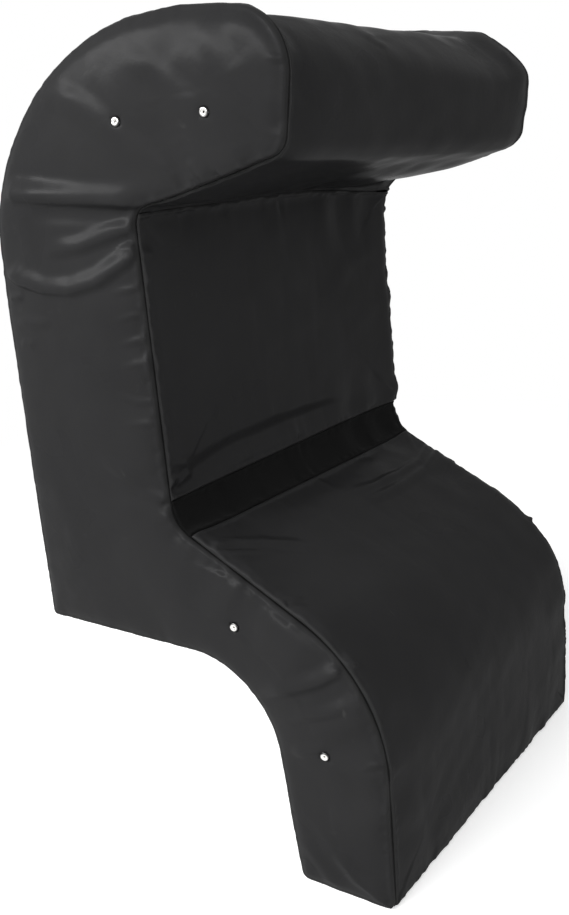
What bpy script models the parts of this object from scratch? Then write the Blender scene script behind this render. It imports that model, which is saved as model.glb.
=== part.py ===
"""Padded tackle shield: foam blocks in a sewn vinyl cover, with a zip, vent eyelets and two handles.

Metres, +Z up. The width runs along X, the pads face -Y and the flat back faces +Y. The origin is at
floor level, in the middle of the box that holds the whole shield. Right and left are the holder's,
who stands behind the shield, so right is -X.
"""

import math

import bmesh
import bpy
from mathutils import Matrix, Vector
from mathutils.bvhtree import BVHTree

# Overall sizes, over the seams of the cover
body_height = 1.000
body_depth = 0.510
seam_width = 0.532

# Side profile: depths run back from the front face, heights up from the floor, drops down from the top
foot_depth = 0.128
foot_radius = 0.012
step_height = 0.275
step_depth = 0.157
step_radius = 0.120
heel_radius = 0.008
nose_height = 0.287
nose_radius = 0.195
crease_depth = 0.279
crease_height = 0.435
crease_radius = 0.042
recess_top_depth = 0.285
recess_top_drop = 0.203
recess_radius = 0.022
roll_lower_depth = 0.076
roll_lower_drop = 0.151
roll_lower_radius = 0.025
roll_upper_depth = 0.0555
roll_upper_drop = 0.0165
roll_upper_radius = 0.065
top_depth = 0.190
shoulder_drop = 0.260
band_width = 0.0508
fillet_share = 0.98
foot_steps = 3
nose_steps = 7
crease_steps = 5
recess_steps = 5
roll_lower_steps = 4
roll_upper_steps = 6
shoulder_steps = 10
heel_steps = 3
step_arc_steps = 6
smooth_angle = math.radians(40)

# Cover: wall, seams and the puff of each panel between its seams
cover_wall = 0.0015
cover_gap = 0.0005
seam_gap = 0.0005
side_crown = 0.024
side_reach = 0.110
side_edge_inset = 0.006
panel_reach = 0.060
lower_front_crown = 0.004
recess_crown = 0.003
head_crown = 0.006
step_crown = 0.003
cell_pitch = 0.050
strip_station_shares = (-0.45, -0.34, 0.0, 0.34, 0.45)

# Foam: where the blocks are glued
head_joint_drop = 0.225
leg_joint_inset = 0.013
glue_gap = 0.0004

# Vent eyelets: places on the side, then the metal ring and the washer behind the cover
head_eyelet_drop = 0.106
rear_eyelet_share = 0.968
front_eyelet_share = 0.553
step_eyelet_inset = 0.0324
step_eyelet_share = 0.4462
leg_eyelet_depth_share = 0.558
leg_eyelet_height_share = 0.697
eyelet_bore_radius = 0.0028
eyelet_barrel_radius = 0.0036
eyelet_flange_radius = 0.0062
eyelet_dome_radius = 0.0046
eyelet_height = 0.0013
eyelet_lip_height = 0.0005
eyelet_length = 0.0040
eyelet_steps = 16
washer_thickness = 0.0006
washer_gap = 0.0012
metal_gap = 0.0003
eyelet_pocket_depth = 0.0040
eyelet_pocket_clearance = 0.0010

# Zip: a slot across the back, two tapes, two combs of teeth, a slider with its pull, and the stops
zip_above_step = 0.050
zip_slot_height = 0.024
zip_end_inset = 0.054
tape_thickness = 0.0008
tooth_pitch = 0.0070
tooth_share = 0.42
tooth_lag_share = 0.50
tooth_thickness = 0.0026
tooth_overlap = 0.0016
tooth_clearance = 0.0006
bead_height = 0.0012
zip_gap = 0.0003
slider_length = 0.0160
slider_wing = 0.0012
slider_rim = 0.0016
slider_side_gap = 0.0008
slider_chain_gap = 0.0004
divider_width = 0.0020
divider_length = 0.0030
bridge_span = 0.0100
bridge_width = 0.0030
bridge_bar = 0.0012
channel_clearance = 0.0010
stop_length = 0.0030
pull_length = 0.0300
pull_width = 0.0080
pull_thickness = 0.0012
pull_neck_share = 0.333
pull_corner_share = 0.25
pull_segments = 2
pull_clearance = 0.0006
pull_eye_width = 0.0034
pull_eye_bore = 0.0028
pull_eye_wall = 0.0010
pull_steps = 12

# Handles: webbing sewn to patches at both ends, with a padded grip in the middle. They take up a share
# of the flat back between the zip and the shoulder, and what the grip leaves is ramp and sewn tab
handle_spacing = 0.270
handle_zone_share = 0.7295
ramp_share = 0.5435
handle_standoff = 0.050
webbing_width = 0.032
webbing_thickness = 0.0024
strap_cut_height = 0.014
strap_gap = 0.0004
strap_steps = 10
grip_length = 0.110
grip_wall = 0.004
grip_depth = 0.024
grip_steps = 24
patch_side_margin = 0.014
patch_end_margin = 0.008
patch_thickness = 0.0012
patch_radius = 0.006
patch_segments = 3

# Cutters run past what they cut by this much
overrun = 0.002

# Sizes and places that follow from these
panel_crowns = {
    "lower_front_panel": lower_front_crown,
    "recess_panel": recess_crown,
    "head_panel": head_crown,
    "step_panel": step_crown,
}
head_eyelet_height = body_height - head_eyelet_drop
step_eyelet_depth = step_depth + step_eyelet_inset
front_above_step = nose_height + (crease_height - nose_height) * step_eyelet_depth / crease_depth - step_height
eyelet_places = {
    "1": (recess_top_depth * rear_eyelet_share, head_eyelet_height),
    "2": (recess_top_depth * front_eyelet_share, head_eyelet_height),
    "3": (step_eyelet_depth, step_height + front_above_step * step_eyelet_share),
    "4": (foot_depth * leg_eyelet_depth_share, step_height * leg_eyelet_height_share),
}
leg_joint_depth = min(crease_depth, recess_top_depth) - leg_joint_inset
strap_seat = patch_thickness + webbing_thickness / 2 + 2 * metal_gap
handle_reach = strap_seat + handle_standoff + grip_depth / 2
front = (lower_front_crown - body_depth - handle_reach) / 2
back = front + body_depth
half_width = seam_width / 2
strip_half_width = half_width - cover_wall - cover_gap
zip_length = 2 * (strip_half_width - zip_end_inset)
zip_height = step_height + zip_above_step
tape_back = back - cover_wall
chain_plane = tape_back + tape_thickness / 2
bead_reach = tooth_overlap + tooth_clearance + bead_height
slider_height = 2 * (bead_reach + slider_side_gap + slider_rim)
wing_inner = tooth_thickness / 2 + slider_chain_gap
wing_outer = wing_inner + slider_wing
pull_eye_radius = pull_eye_bore + pull_eye_wall
bridge_height = pull_clearance + pull_eye_radius + bridge_bar / 2
flat_back_low = zip_height + zip_slot_height / 2
flat_back_high = body_height - shoulder_drop
handle_height = (flat_back_low + flat_back_high) / 2
strap_plane = back + strap_seat
beside_grip = ((flat_back_high - flat_back_low) * handle_zone_share - grip_length) / 2
handle_ramp = beside_grip * ramp_share
tab_length = beside_grip - handle_ramp
patch_width = webbing_width + 2 * patch_side_margin
patch_length = tab_length + 2 * patch_end_margin
grip_width = webbing_width + 2 * grip_wall


def flat_vector(depth, height):
    """A place in the side profile."""
    return Vector((depth, height))


def clear_scene():
    """Removes every object, so that the shield stands alone."""
    for thing in list(bpy.data.objects):
        bpy.data.objects.remove(thing)


def material(name, colour, roughness, metallic=0.0):
    """A plain finish, made once and shared by its name."""
    finish = bpy.data.materials.get(name)
    if finish:
        return finish
    finish = bpy.data.materials.new(name)
    finish.use_nodes = True
    shader = finish.node_tree.nodes["Principled BSDF"]
    shader.inputs["Base Color"].default_value = (*colour, 1.0)
    shader.inputs["Roughness"].default_value = roughness
    shader.inputs["Metallic"].default_value = metallic
    return finish


def vinyl():
    """Black coated vinyl of the cover."""
    return material("black_vinyl", (0.016, 0.016, 0.017), 0.42)


def foam():
    """Charcoal closed-cell foam of the blocks."""
    return material("grey_foam", (0.12, 0.12, 0.13), 0.95)


def webbing():
    """Black woven webbing and tape."""
    return material("black_webbing", (0.006, 0.006, 0.006), 0.85)


def nickel():
    """Bright nickel of the eyelets and the zip's metal."""
    return material("bright_nickel", (0.72, 0.71, 0.69), 0.22, 1.0)


def zip_plastic():
    """Black moulded plastic of the zip's teeth."""
    return material("zip_plastic", (0.010, 0.010, 0.011), 0.35)


def add_object(name, bm, finish):
    """An object made of a bmesh, which is freed: smooth where it is round, sharp at its edges."""
    mesh = bpy.data.meshes.new(name)
    bm.to_mesh(mesh)
    bm.free()
    mesh.materials.append(finish)
    mesh.shade_smooth()
    mesh.set_sharp_from_angle(angle=smooth_angle)
    thing = bpy.data.objects.new(name, mesh)
    bpy.context.scene.collection.objects.link(thing)
    return thing


def add_cutter(name, bm):
    """A hidden helper shape for a Boolean."""
    thing = add_object(name, bm, foam())
    thing.hide_render = True
    thing.display_type = "WIRE"
    return thing


def boolean(thing, cutter, operation="DIFFERENCE"):
    """Cuts the helper from the object, or joins it on."""
    modifier = thing.modifiers.new(cutter.name, "BOOLEAN")
    modifier.operation = operation
    modifier.object = cutter
    modifier.solver = "EXACT"


def box_bmesh(low, high):
    """A box between two corners."""
    bm = bmesh.new()
    bmesh.ops.create_cube(bm, size=1.0)
    low = Vector(low)
    high = Vector(high)
    bmesh.ops.scale(bm, vec=high - low, verts=bm.verts)
    bmesh.ops.translate(bm, vec=(low + high) / 2, verts=bm.verts)
    return bm


def extruded(points, travel):
    """A closed prism from a flat outline of 3D points and the way it is pushed."""
    bm = bmesh.new()
    face = bm.faces.new([bm.verts.new(point) for point in points])
    made = bmesh.ops.extrude_face_region(bm, geom=[face])
    moved = [item for item in made["geom"] if isinstance(item, bmesh.types.BMVert)]
    bmesh.ops.translate(bm, vec=travel, verts=moved)
    bmesh.ops.recalc_face_normals(bm, faces=bm.faces)
    return bm


def turned(profile, steps):
    """A closed turned ring from (radius, height) points about local Z."""
    bm = bmesh.new()
    verts = [bm.verts.new((radius, 0, height)) for radius, height in profile]
    edges = [bm.edges.new((a, b)) for a, b in zip(verts, verts[1:] + verts[:1])]
    bmesh.ops.spin(
        bm, geom=verts + edges, axis=(0, 0, 1), cent=(0, 0, 0), angle=math.tau, steps=steps, use_merge=True
    )
    bmesh.ops.recalc_face_normals(bm, faces=bm.faces)
    return bm


def keep_side(bm, place, direction):
    """Cuts a solid by a plane, drops what the direction points to, and closes the cut."""
    geometry = list(bm.verts) + list(bm.edges) + list(bm.faces)
    cut = bmesh.ops.bisect_plane(bm, geom=geometry, plane_co=place, plane_no=direction, clear_outer=True)
    rim = [item for item in cut["geom_cut"] if isinstance(item, bmesh.types.BMEdge)]
    bmesh.ops.edgeloop_fill(bm, edges=rim)
    bmesh.ops.recalc_face_normals(bm, faces=bm.faces)


def rise(distance, reach):
    """How far a flat panel has come up at a distance from its seam: 0 at the seam, 1 past the reach."""
    return 1 - (1 - min(max(distance, 0) / reach, 1)) ** 2


def bulge(distance, reach):
    """The same for a side, which comes up steeply at its seam, as a quarter of an ellipse."""
    return math.sqrt(rise(distance, reach))


def fillet(before, corner, after, radius, steps):
    """Arc points that round a corner, kept within its two straights."""
    to_before = before - corner
    to_after = after - corner
    half_angle = to_before.angle(to_after) / 2
    reach = radius / math.tan(half_angle)
    reach = min(reach, fillet_share * min(to_before.length, to_after.length))
    bisector = (to_before.normalized() + to_after.normalized()).normalized()
    centre = corner + bisector * (reach / math.cos(half_angle))
    first = corner + to_before.normalized() * reach - centre
    last = corner + to_after.normalized() * reach - centre
    turned_radius = first.length
    return [centre + first.slerp(last, step / steps) * turned_radius for step in range(steps + 1)]


def profile_corners():
    """The side profile from the foot's front corner, up the front, over the top and down the back.

    Each entry is a place, the radius and arc steps of its rounding, and the panel that starts there.
    A seam lies on the middle chord of its arc, so such an arc has an odd number of steps.
    """
    nose = flat_vector(0, nose_height)
    crease = flat_vector(crease_depth, crease_height)
    recess_top = flat_vector(recess_top_depth, body_height - recess_top_drop)
    to_nose = (nose - crease).normalized()
    to_recess = (recess_top - crease).normalized()
    half_angle = to_nose.angle(to_recess) / 2
    crease_tangent = crease_radius / math.tan(half_angle)
    crease_arc = crease_radius * (math.pi - 2 * half_angle)
    band_end = crease_tangent + (band_width - crease_arc) / 2
    corners = [
        (flat_vector(0, 0), foot_radius, foot_steps, "lower_front_panel"),
        (nose, nose_radius, nose_steps, None),
        (crease + to_nose * band_end, 0, 0, "crease_band"),
        (crease, crease_radius, crease_steps, None),
        (crease + to_recess * band_end, 0, 0, "recess_panel"),
        (recess_top, recess_radius, recess_steps, "head_panel"),
    ]
    roll_lower = flat_vector(roll_lower_depth, body_height - roll_lower_drop)
    roll_upper = flat_vector(roll_upper_depth, body_height - roll_upper_drop)
    corners.append((roll_lower, roll_lower_radius, roll_lower_steps, None))
    corners.append((roll_upper, roll_upper_radius, roll_upper_steps, None))
    for step in range(shoulder_steps + 1):
        angle = math.pi / 2 * step / shoulder_steps
        depth = top_depth + (body_depth - top_depth) * math.sin(angle)
        height = body_height - shoulder_drop * (1 - math.cos(angle))
        panel = "rear_panel_upper" if step == shoulder_steps else None
        corners.append((flat_vector(depth, height), 0, 0, panel))
    corners += [
        (flat_vector(body_depth, flat_back_low), 0, 0, "zip"),
        (flat_vector(body_depth, flat_back_low - zip_slot_height), 0, 0, "rear_panel_lower"),
        (flat_vector(body_depth, step_height), heel_radius, heel_steps, "step_panel"),
        (flat_vector(step_depth, step_height), step_radius, step_arc_steps, None),
        (flat_vector(foot_depth, 0), foot_radius, foot_steps, "base_panel"),
    ]
    return corners


def side_profile():
    """The outline as (place, panel of the edge that starts there), with a small seam between panels."""
    corners = profile_corners()
    places = []
    for index, (corner, radius, steps, panel) in enumerate(corners):
        if not radius:
            places.append((corner, panel))
            continue
        before = corners[index - 1][0]
        after = corners[(index + 1) % len(corners)][0]
        arc = [(place, None) for place in fillet(before, corner, after, radius, steps)]
        if panel:
            middle = len(arc) // 2
            arc.insert(middle, ((arc[middle - 1][0] + arc[middle][0]) / 2, panel))
        places += arc
    panel = next(name for _, name in reversed(places) if name)
    outline = []
    for index, (place, starts) in enumerate(places):
        if not starts:
            outline.append((place, panel))
            continue
        before = (places[index - 1][0] - place).normalized()
        after = (places[(index + 1) % len(places)][0] - place).normalized()
        outline.append((place + before * seam_gap / 2, "seam"))
        outline.append((place + after * seam_gap / 2, starts))
        panel = starts
    return outline


def distance_to_outline(place, outline):
    """The shortest way from a place to the outline."""
    best = math.inf
    for index, (start, _) in enumerate(outline):
        end = outline[(index + 1) % len(outline)][0]
        along = end - start
        share = min(max((place - start).dot(along) / along.length_squared, 0), 1)
        best = min(best, (place - start - along * share).length)
    return best


class Cover:
    """The cover's outer surface, closed, with each face marked by the panel that it belongs to."""

    def __init__(self):
        self.outline = side_profile()
        self.panels = ["right_side_panel", "left_side_panel"]
        self.panels += sorted({panel for _, panel in self.outline})
        self.bm = bmesh.new()
        self.layer = self.bm.faces.layers.int.new("panel")
        self.build_prism()
        self.cut_cells()
        self.puff()

    def build_prism(self):
        """The outline pushed across the width, and both sides closed."""
        bm = self.bm
        verts = [bm.verts.new((-half_width, front + place.x, place.y)) for place, _ in self.outline]
        edges = [bm.edges.new((a, b)) for a, b in zip(verts, verts[1:] + verts[:1])]
        made = bmesh.ops.extrude_edge_only(bm, edges=edges)["geom"]
        far_verts = [item for item in made if isinstance(item, bmesh.types.BMVert)]
        far_edges = [edge for edge in bm.edges if all(vert in far_verts for vert in edge.verts)]
        bmesh.ops.translate(bm, vec=(seam_width, 0, 0), verts=far_verts)
        for edge, (_, panel) in zip(edges, self.outline):
            edge.link_faces[0][self.layer] = self.panels.index(panel)
        for side, rim in (("right_side_panel", edges), ("left_side_panel", far_edges)):
            made = bmesh.ops.contextual_create(bm, geom=rim)["faces"]
            made[0][self.layer] = self.panels.index(side)
            bmesh.ops.inset_region(bm, faces=made, thickness=side_edge_inset, use_even_offset=True)
        bmesh.ops.recalc_face_normals(bm, faces=bm.faces)

    def cut(self, place, direction):
        """Splits every face that a plane crosses."""
        geometry = list(self.bm.verts) + list(self.bm.edges) + list(self.bm.faces)
        bmesh.ops.bisect_plane(self.bm, geom=geometry, plane_co=place, plane_no=direction)

    def cut_cells(self):
        """A grid of cells over the sides, and stations across the strips."""
        columns = round(body_depth / cell_pitch)
        for index in range(1, columns):
            self.cut((0, front + body_depth * index / columns, 0), (0, 1, 0))
        rows = round(body_height / cell_pitch)
        for index in range(1, rows):
            self.cut((0, 0, body_height * index / rows), (0, 0, 1))
        for share in strip_station_shares:
            self.cut((seam_width * share, 0, 0), (1, 0, 0))

    def puff(self):
        """Raises each padded panel between its seams."""
        seams = [place for place, panel in self.outline if panel == "seam"]
        self.bm.normal_update()
        moves = {}
        for vert in self.bm.verts:
            place = flat_vector(vert.co.y - front, vert.co.z)
            marks = {self.panels[face[self.layer]] for face in vert.link_faces}
            if marks <= {"right_side_panel"} or marks <= {"left_side_panel"}:
                lift = side_crown * bulge(distance_to_outline(place, self.outline), side_reach)
                moves[vert] = Vector((math.copysign(lift, vert.co.x), 0, 0))
            elif len(marks) == 1:
                lift = panel_crowns.get(marks.pop(), 0)
                lift *= rise(min((place - seam).length for seam in seams), panel_reach)
                lift *= rise(half_width - abs(vert.co.x), panel_reach)
                moves[vert] = vert.normal * lift
        for vert, move in moves.items():
            vert.co += move
        bmesh.ops.triangulate(self.bm, faces=self.bm.faces)
        self.bm.normal_update()

    def panel(self, name):
        """The faces of one panel, by themselves, drawn in from the side seams if it is a strip."""
        bm = self.bm.copy()
        layer = bm.faces.layers.int["panel"]
        mark = self.panels.index(name)
        others = [face for face in bm.faces if face[layer] != mark]
        bmesh.ops.delete(bm, geom=others, context="FACES")
        if name not in ("right_side_panel", "left_side_panel"):
            for vert in bm.verts:
                vert.co.x = min(max(vert.co.x, -strip_half_width), strip_half_width)
        return bm

    def foam_surface(self):
        """The closed surface of the foam, a little inside the cover."""
        bm = self.bm.copy()
        bm.normal_update()
        moves = {vert: vert.normal * vert.calc_shell_factor() for vert in bm.verts}
        for vert, move in moves.items():
            vert.co -= move * (cover_wall + cover_gap)
        return bm

    def side_hit(self, side, place):
        """Where a line across the width meets a side panel, and the way that the panel faces there."""
        tree = BVHTree.FromBMesh(self.bm)
        origin = Vector((side * seam_width, front + place[0], place[1]))
        point, normal, _, _ = tree.ray_cast(origin, Vector((-side, 0, 0)))
        return point, normal


def add_panel(cover, name, finish):
    """One sewn panel of the cover, with its wall turned inwards."""
    panel = add_object(name, cover.panel(name), finish)
    wall = panel.modifiers.new("wall", "SOLIDIFY")
    wall.thickness = cover_wall
    wall.offset = -1
    wall.use_even_offset = True
    return panel


def add_foam_blocks(cover):
    """The head roll, the column and the leg, glued together."""
    head_joint = body_height - head_joint_drop
    leg_joint = front + leg_joint_depth
    up = (0, 0, 1)
    down = (0, 0, -1)
    head = cover.foam_surface()
    keep_side(head, (0, 0, head_joint + glue_gap / 2), down)
    column = cover.foam_surface()
    keep_side(column, (0, 0, head_joint - glue_gap / 2), up)
    leg = column.copy()
    keep_side(column, (0, leg_joint + glue_gap / 2, 0), (0, -1, 0))
    keep_side(leg, (0, leg_joint - glue_gap / 2, 0), (0, 1, 0))
    return {
        "head_roll_core": add_object("head_roll_core", head, foam()),
        "column_core": add_object("column_core", column, foam()),
        "leg_core": add_object("leg_core", leg, foam()),
    }


def eyelet_frame(point, normal):
    """The place of an eyelet: local Z runs out of the panel."""
    return Matrix.Translation(point) @ normal.to_track_quat("Z", "Y").to_matrix().to_4x4()


def eyelet_ring():
    """The domed ring with its barrel, over the panel's face at local Z 0."""
    seat = metal_gap
    profile = [
        (eyelet_bore_radius, -eyelet_length),
        (eyelet_barrel_radius, -eyelet_length),
        (eyelet_barrel_radius, seat),
        (eyelet_flange_radius, seat),
        (eyelet_flange_radius, seat + eyelet_lip_height),
        (eyelet_dome_radius, eyelet_height),
        (eyelet_bore_radius, eyelet_lip_height),
    ]
    return turned(profile, eyelet_steps)


def eyelet_washer():
    """The washer on the barrel, behind the panel."""
    outer = -cover_wall - washer_gap
    inner = outer - washer_thickness
    bore = eyelet_barrel_radius + metal_gap
    profile = [(bore, inner), (eyelet_flange_radius, inner), (eyelet_flange_radius, outer), (bore, outer)]
    return turned(profile, eyelet_steps)


def add_pivot(name, place):
    """An empty on the axis of what moves."""
    pivot = bpy.data.objects.new(name, None)
    pivot.location = place
    bpy.context.scene.collection.objects.link(pivot)
    return pivot


def hang(piece, pivot):
    """Parents a piece to a pivot and leaves it where it is."""
    piece.parent = pivot
    piece.matrix_parent_inverse = Matrix.Translation(-pivot.location)


def cylinder(radius, low, high, frame):
    """A closed cylinder along a frame's Z."""
    bm = bmesh.new()
    bmesh.ops.create_cone(
        bm, cap_ends=True, segments=eyelet_steps, radius1=radius, radius2=radius, depth=high - low
    )
    bmesh.ops.translate(bm, vec=(0, 0, (low + high) / 2), verts=bm.verts)
    bmesh.ops.transform(bm, matrix=frame, verts=bm.verts)
    return bm


def merged(parts):
    """Several separate shapes in one mesh, for a cutter."""
    bm = bmesh.new()
    for part in parts:
        mesh = bpy.data.meshes.new("piece")
        part.to_mesh(mesh)
        part.free()
        bm.from_mesh(mesh)
        bpy.data.meshes.remove(mesh)
    return bm


def add_eyelets(cover, side_name, side, panel, blocks):
    """The vent eyelets of one side, their washers, and the holes, flat seats and pockets that they sit in."""
    holes = []
    seats = []
    pockets = []
    low = -eyelet_length - overrun
    inner_seat = metal_gap - cover_wall - washer_gap
    for number, place in eyelet_places.items():
        frame = eyelet_frame(*cover.side_hit(side, place))
        ring = add_object(f"{side_name}_eyelet_{number}", eyelet_ring(), nickel())
        ring.matrix_world = frame
        washer = add_object(f"{side_name}_eyelet_washer_{number}", eyelet_washer(), nickel())
        washer.matrix_world = frame
        holes.append(cylinder(eyelet_barrel_radius + metal_gap, low, overrun, frame))
        seats.append(cylinder(eyelet_flange_radius + metal_gap, 0, overrun, frame))
        seats.append(cylinder(eyelet_flange_radius + metal_gap, low, inner_seat, frame))
        radius = eyelet_flange_radius + eyelet_pocket_clearance
        depth = cover_wall + eyelet_pocket_depth
        pockets.append(cylinder(radius, -depth, overrun, frame))
    boolean(panel, add_cutter(f"{side_name}_eyelet_holes", merged(holes)))
    boolean(panel, add_cutter(f"{side_name}_eyelet_seats", merged(seats)))
    pocket_cutter = add_cutter(f"{side_name}_eyelet_pockets", merged(pockets))
    for name in ("head_roll_core", "leg_core"):
        boolean(blocks[name], pocket_cutter)


def comb_outline(direction, offset):
    """One half of the zip's teeth: a bead with teeth, in the plane of the chain."""
    near = zip_height + direction * (tooth_overlap + tooth_clearance)
    far = near + direction * bead_height
    tip = zip_height - direction * tooth_overlap
    start = -zip_length / 2
    end = zip_length / 2
    count = round(zip_length / tooth_pitch) - 1
    points = [(end, chain_plane, far), (start, chain_plane, far), (start, chain_plane, near)]
    for index in range(count):
        first = start + tooth_pitch * (index + offset)
        last = first + tooth_pitch * tooth_share
        points.append((first, chain_plane, near))
        points.append((first, chain_plane, tip))
        points.append((last, chain_plane, tip))
        points.append((last, chain_plane, near))
    points.append((end, chain_plane, near))
    return points


def add_zip_teeth():
    """The two combs of moulded teeth, meshed."""
    travel = Vector((0, tooth_thickness, 0))
    first_offset = (1 - tooth_share) / 2
    for name, direction, offset in (
        ("zip_teeth_upper", 1, first_offset),
        ("zip_teeth_lower", -1, first_offset + tooth_lag_share),
    ):
        bm = extruded([Vector(point) - travel / 2 for point in comb_outline(direction, offset)], travel)
        add_object(name, bm, zip_plastic())


def add_zip_tapes():
    """The woven tapes between the teeth and the edges of the slot."""
    inner = bead_reach + zip_gap
    outer = zip_slot_height / 2 - zip_gap
    for name, direction in (("zip_tape_upper", 1), ("zip_tape_lower", -1)):
        ends = sorted((zip_height + direction * inner, zip_height + direction * outer))
        low = (-strip_half_width, tape_back, ends[0])
        high = (strip_half_width, tape_back + tape_thickness, ends[1])
        add_object(name, box_bmesh(low, high), webbing())


def add_zip_stops():
    """The metal stops at both ends of the chain."""
    half_stop = tooth_thickness / 2
    start = -zip_length / 2 - zip_gap
    end = zip_length / 2 + slider_length + zip_gap
    for name, low_x in (("zip_start_stop", start - stop_length), ("zip_end_stop", end)):
        low = (low_x, chain_plane - half_stop, zip_height - bead_reach)
        high = (low_x + stop_length, chain_plane + half_stop, zip_height + bead_reach)
        add_object(name, box_bmesh(low, high), nickel())


def wing_profile(side):
    """Half of the slider: a plate with a rim along both edges, open towards the chain."""
    rim = tape_thickness / 2 + zip_gap
    edge = slider_height / 2
    channel = edge - slider_rim
    shape = [(wing_outer, -edge), (rim, -edge), (rim, -channel), (wing_inner, -channel)]
    shape += [(reach, -height) for reach, height in reversed(shape)]
    return [Vector((0, chain_plane + side * reach, zip_height + height)) for reach, height in shape]


def bridge_profile():
    """The arch over the slider that holds the pull, seen from above. Its feet sink into the wing."""
    outer = bridge_span / 2
    inner = outer - bridge_bar
    foot = -slider_wing / 2
    top = bridge_height
    under = top - bridge_bar
    shape = [(-outer, foot), (-outer, under), (-inner, top), (inner, top), (outer, under)]
    shape += [(outer, foot), (inner, foot), (inner, under), (-inner, under), (-inner, foot)]
    return [Vector((along, chain_plane + wing_outer + out, 0)) for along, out in shape]


def add_zip_slider(centre_x):
    """The slider: two rimmed wings round the chain, the divider that joins them, and the bridge."""
    start = centre_x - slider_length / 2
    travel = Vector((slider_length, 0, 0))
    shift = Vector((start, 0, 0))
    slider = add_object("zip_slider", extruded([p + shift for p in wing_profile(1)], travel), nickel())
    inner_wing = add_cutter("slider_inner_wing", extruded([p + shift for p in wing_profile(-1)], travel))
    boolean(slider, inner_wing, "UNION")
    reach = wing_inner + slider_wing / 2
    low = (start + slider_length - divider_length, chain_plane - reach, zip_height - divider_width / 2)
    high = (start + slider_length, chain_plane + reach, zip_height + divider_width / 2)
    boolean(slider, add_cutter("slider_divider", box_bmesh(low, high)), "UNION")
    shift = Vector((centre_x, 0, zip_height - bridge_width / 2))
    arch = extruded([p + shift for p in bridge_profile()], Vector((0, 0, bridge_width)))
    boolean(slider, add_cutter("slider_bridge", arch), "UNION")
    return slider


def round_corners(bm, radius, segments):
    """Rounds the edges of a flat plate that run through its thickness, along Y."""
    corners = [edge for edge in bm.edges if edge.verts[0].co.y != edge.verts[1].co.y]
    bmesh.ops.bevel(
        bm, geom=corners, offset=radius, segments=segments, profile=0.5, affect="EDGES", material=-1
    )


def add_zip_pull(centre_x):
    """The pull: an eye round the bridge's bar, and a tab that hangs from it."""
    axis_y = chain_plane + wing_outer + bridge_height - bridge_bar / 2
    width = Vector((pull_eye_width, 0, 0))
    half_thickness = pull_thickness / 2
    start_angle = math.asin(half_thickness / pull_eye_radius) - math.pi / 2
    sweep = math.tau - 2 * math.asin(half_thickness / pull_eye_radius)
    points = [Vector((0, -half_thickness, -pull_length)), Vector((0, half_thickness, -pull_length))]
    for step in range(pull_steps + 1):
        angle = start_angle + sweep * step / pull_steps
        points.append(Vector((0, math.cos(angle), math.sin(angle))) * pull_eye_radius)
    pull = add_object("zip_pull", extruded([p - width / 2 for p in points], width), nickel())
    pull.location = (centre_x, axis_y, zip_height)
    low = (-pull_width / 2, -half_thickness, -pull_length)
    high = (pull_width / 2, half_thickness, -pull_length * pull_neck_share)
    tab = box_bmesh(low, high)
    round_corners(tab, pull_width * pull_corner_share, pull_segments)
    plate = add_cutter("pull_plate", tab)
    plate.location = pull.location
    boolean(pull, plate, "UNION")
    across = Matrix.Rotation(math.pi / 2, 4, "Y")
    bore = cylinder(pull_eye_bore, -pull_eye_width, pull_eye_width, across)
    hole = add_cutter("pull_eye_hole", bore)
    hole.location = pull.location
    boolean(pull, hole)
    return pull


def add_zip_channel(blocks):
    """The groove in the foam behind the chain, where the slider's inner wing runs."""
    reach = wing_outer + channel_clearance
    half_height = slider_height / 2 + channel_clearance
    edge = zip_length / 2 + slider_length + stop_length + channel_clearance
    low = (-edge, chain_plane - reach, zip_height - half_height)
    high = (edge, back + overrun, zip_height + half_height)
    boolean(blocks["column_core"], add_cutter("zip_channel", box_bmesh(low, high)))


def add_zip(blocks):
    """The whole zip, closed, with its slider past the last tooth."""
    add_zip_channel(blocks)
    add_zip_tapes()
    add_zip_teeth()
    add_zip_stops()
    centre_x = zip_length / 2 + slider_length / 2
    track = add_pivot("zip_track", (centre_x, chain_plane, zip_height))
    slider = add_zip_slider(centre_x)
    hang(slider, track)
    hang(add_zip_pull(centre_x), slider)


def strap_half():
    """The upper half of a handle's centre line, as (height above the middle, reach off the tabs)."""
    straight = grip_length / 2
    points = [(0, handle_standoff)]
    for step in range(strap_steps + 1):
        share = step / strap_steps
        reach = handle_standoff * (1 + math.cos(math.pi * share)) / 2
        points.append((straight + handle_ramp * share, reach))
    points.append((straight + handle_ramp + tab_length, 0))
    return points


def strap_line():
    """The whole centre line, from the lower tab's end to the upper tab's end."""
    upper = strap_half()
    lower = [(-height, reach) for height, reach in reversed(upper[1:])]
    return [Vector((reach, height)) for height, reach in lower + upper]


def strap_outline():
    """The webbing seen from the side: its centre line, thickened to both sides."""
    line = strap_line()
    sides = ([], [])
    for index, place in enumerate(line):
        ahead = line[min(index + 1, len(line) - 1)]
        behind = line[max(index - 1, 0)]
        along = (ahead - behind).normalized()
        normal = Vector((along.y, -along.x))
        sides[0].append(place + normal * webbing_thickness / 2)
        sides[1].append(place - normal * webbing_thickness / 2)
    return sides[0] + sides[1][::-1]


def strap_bmesh(centre_x):
    """The whole webbing of one handle, tabs and all."""
    low_x = centre_x - webbing_width / 2
    points = [Vector((low_x, strap_plane + p.x, handle_height + p.y)) for p in strap_outline()]
    return extruded(points, Vector((webbing_width, 0, 0)))


def cut_distance():
    """How far above and below its middle the handle's webbing is free to swing."""
    half_standoff = handle_standoff / 2
    share = math.acos((strap_cut_height - half_standoff) / half_standoff) / math.pi
    return grip_length / 2 + handle_ramp * share


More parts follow.
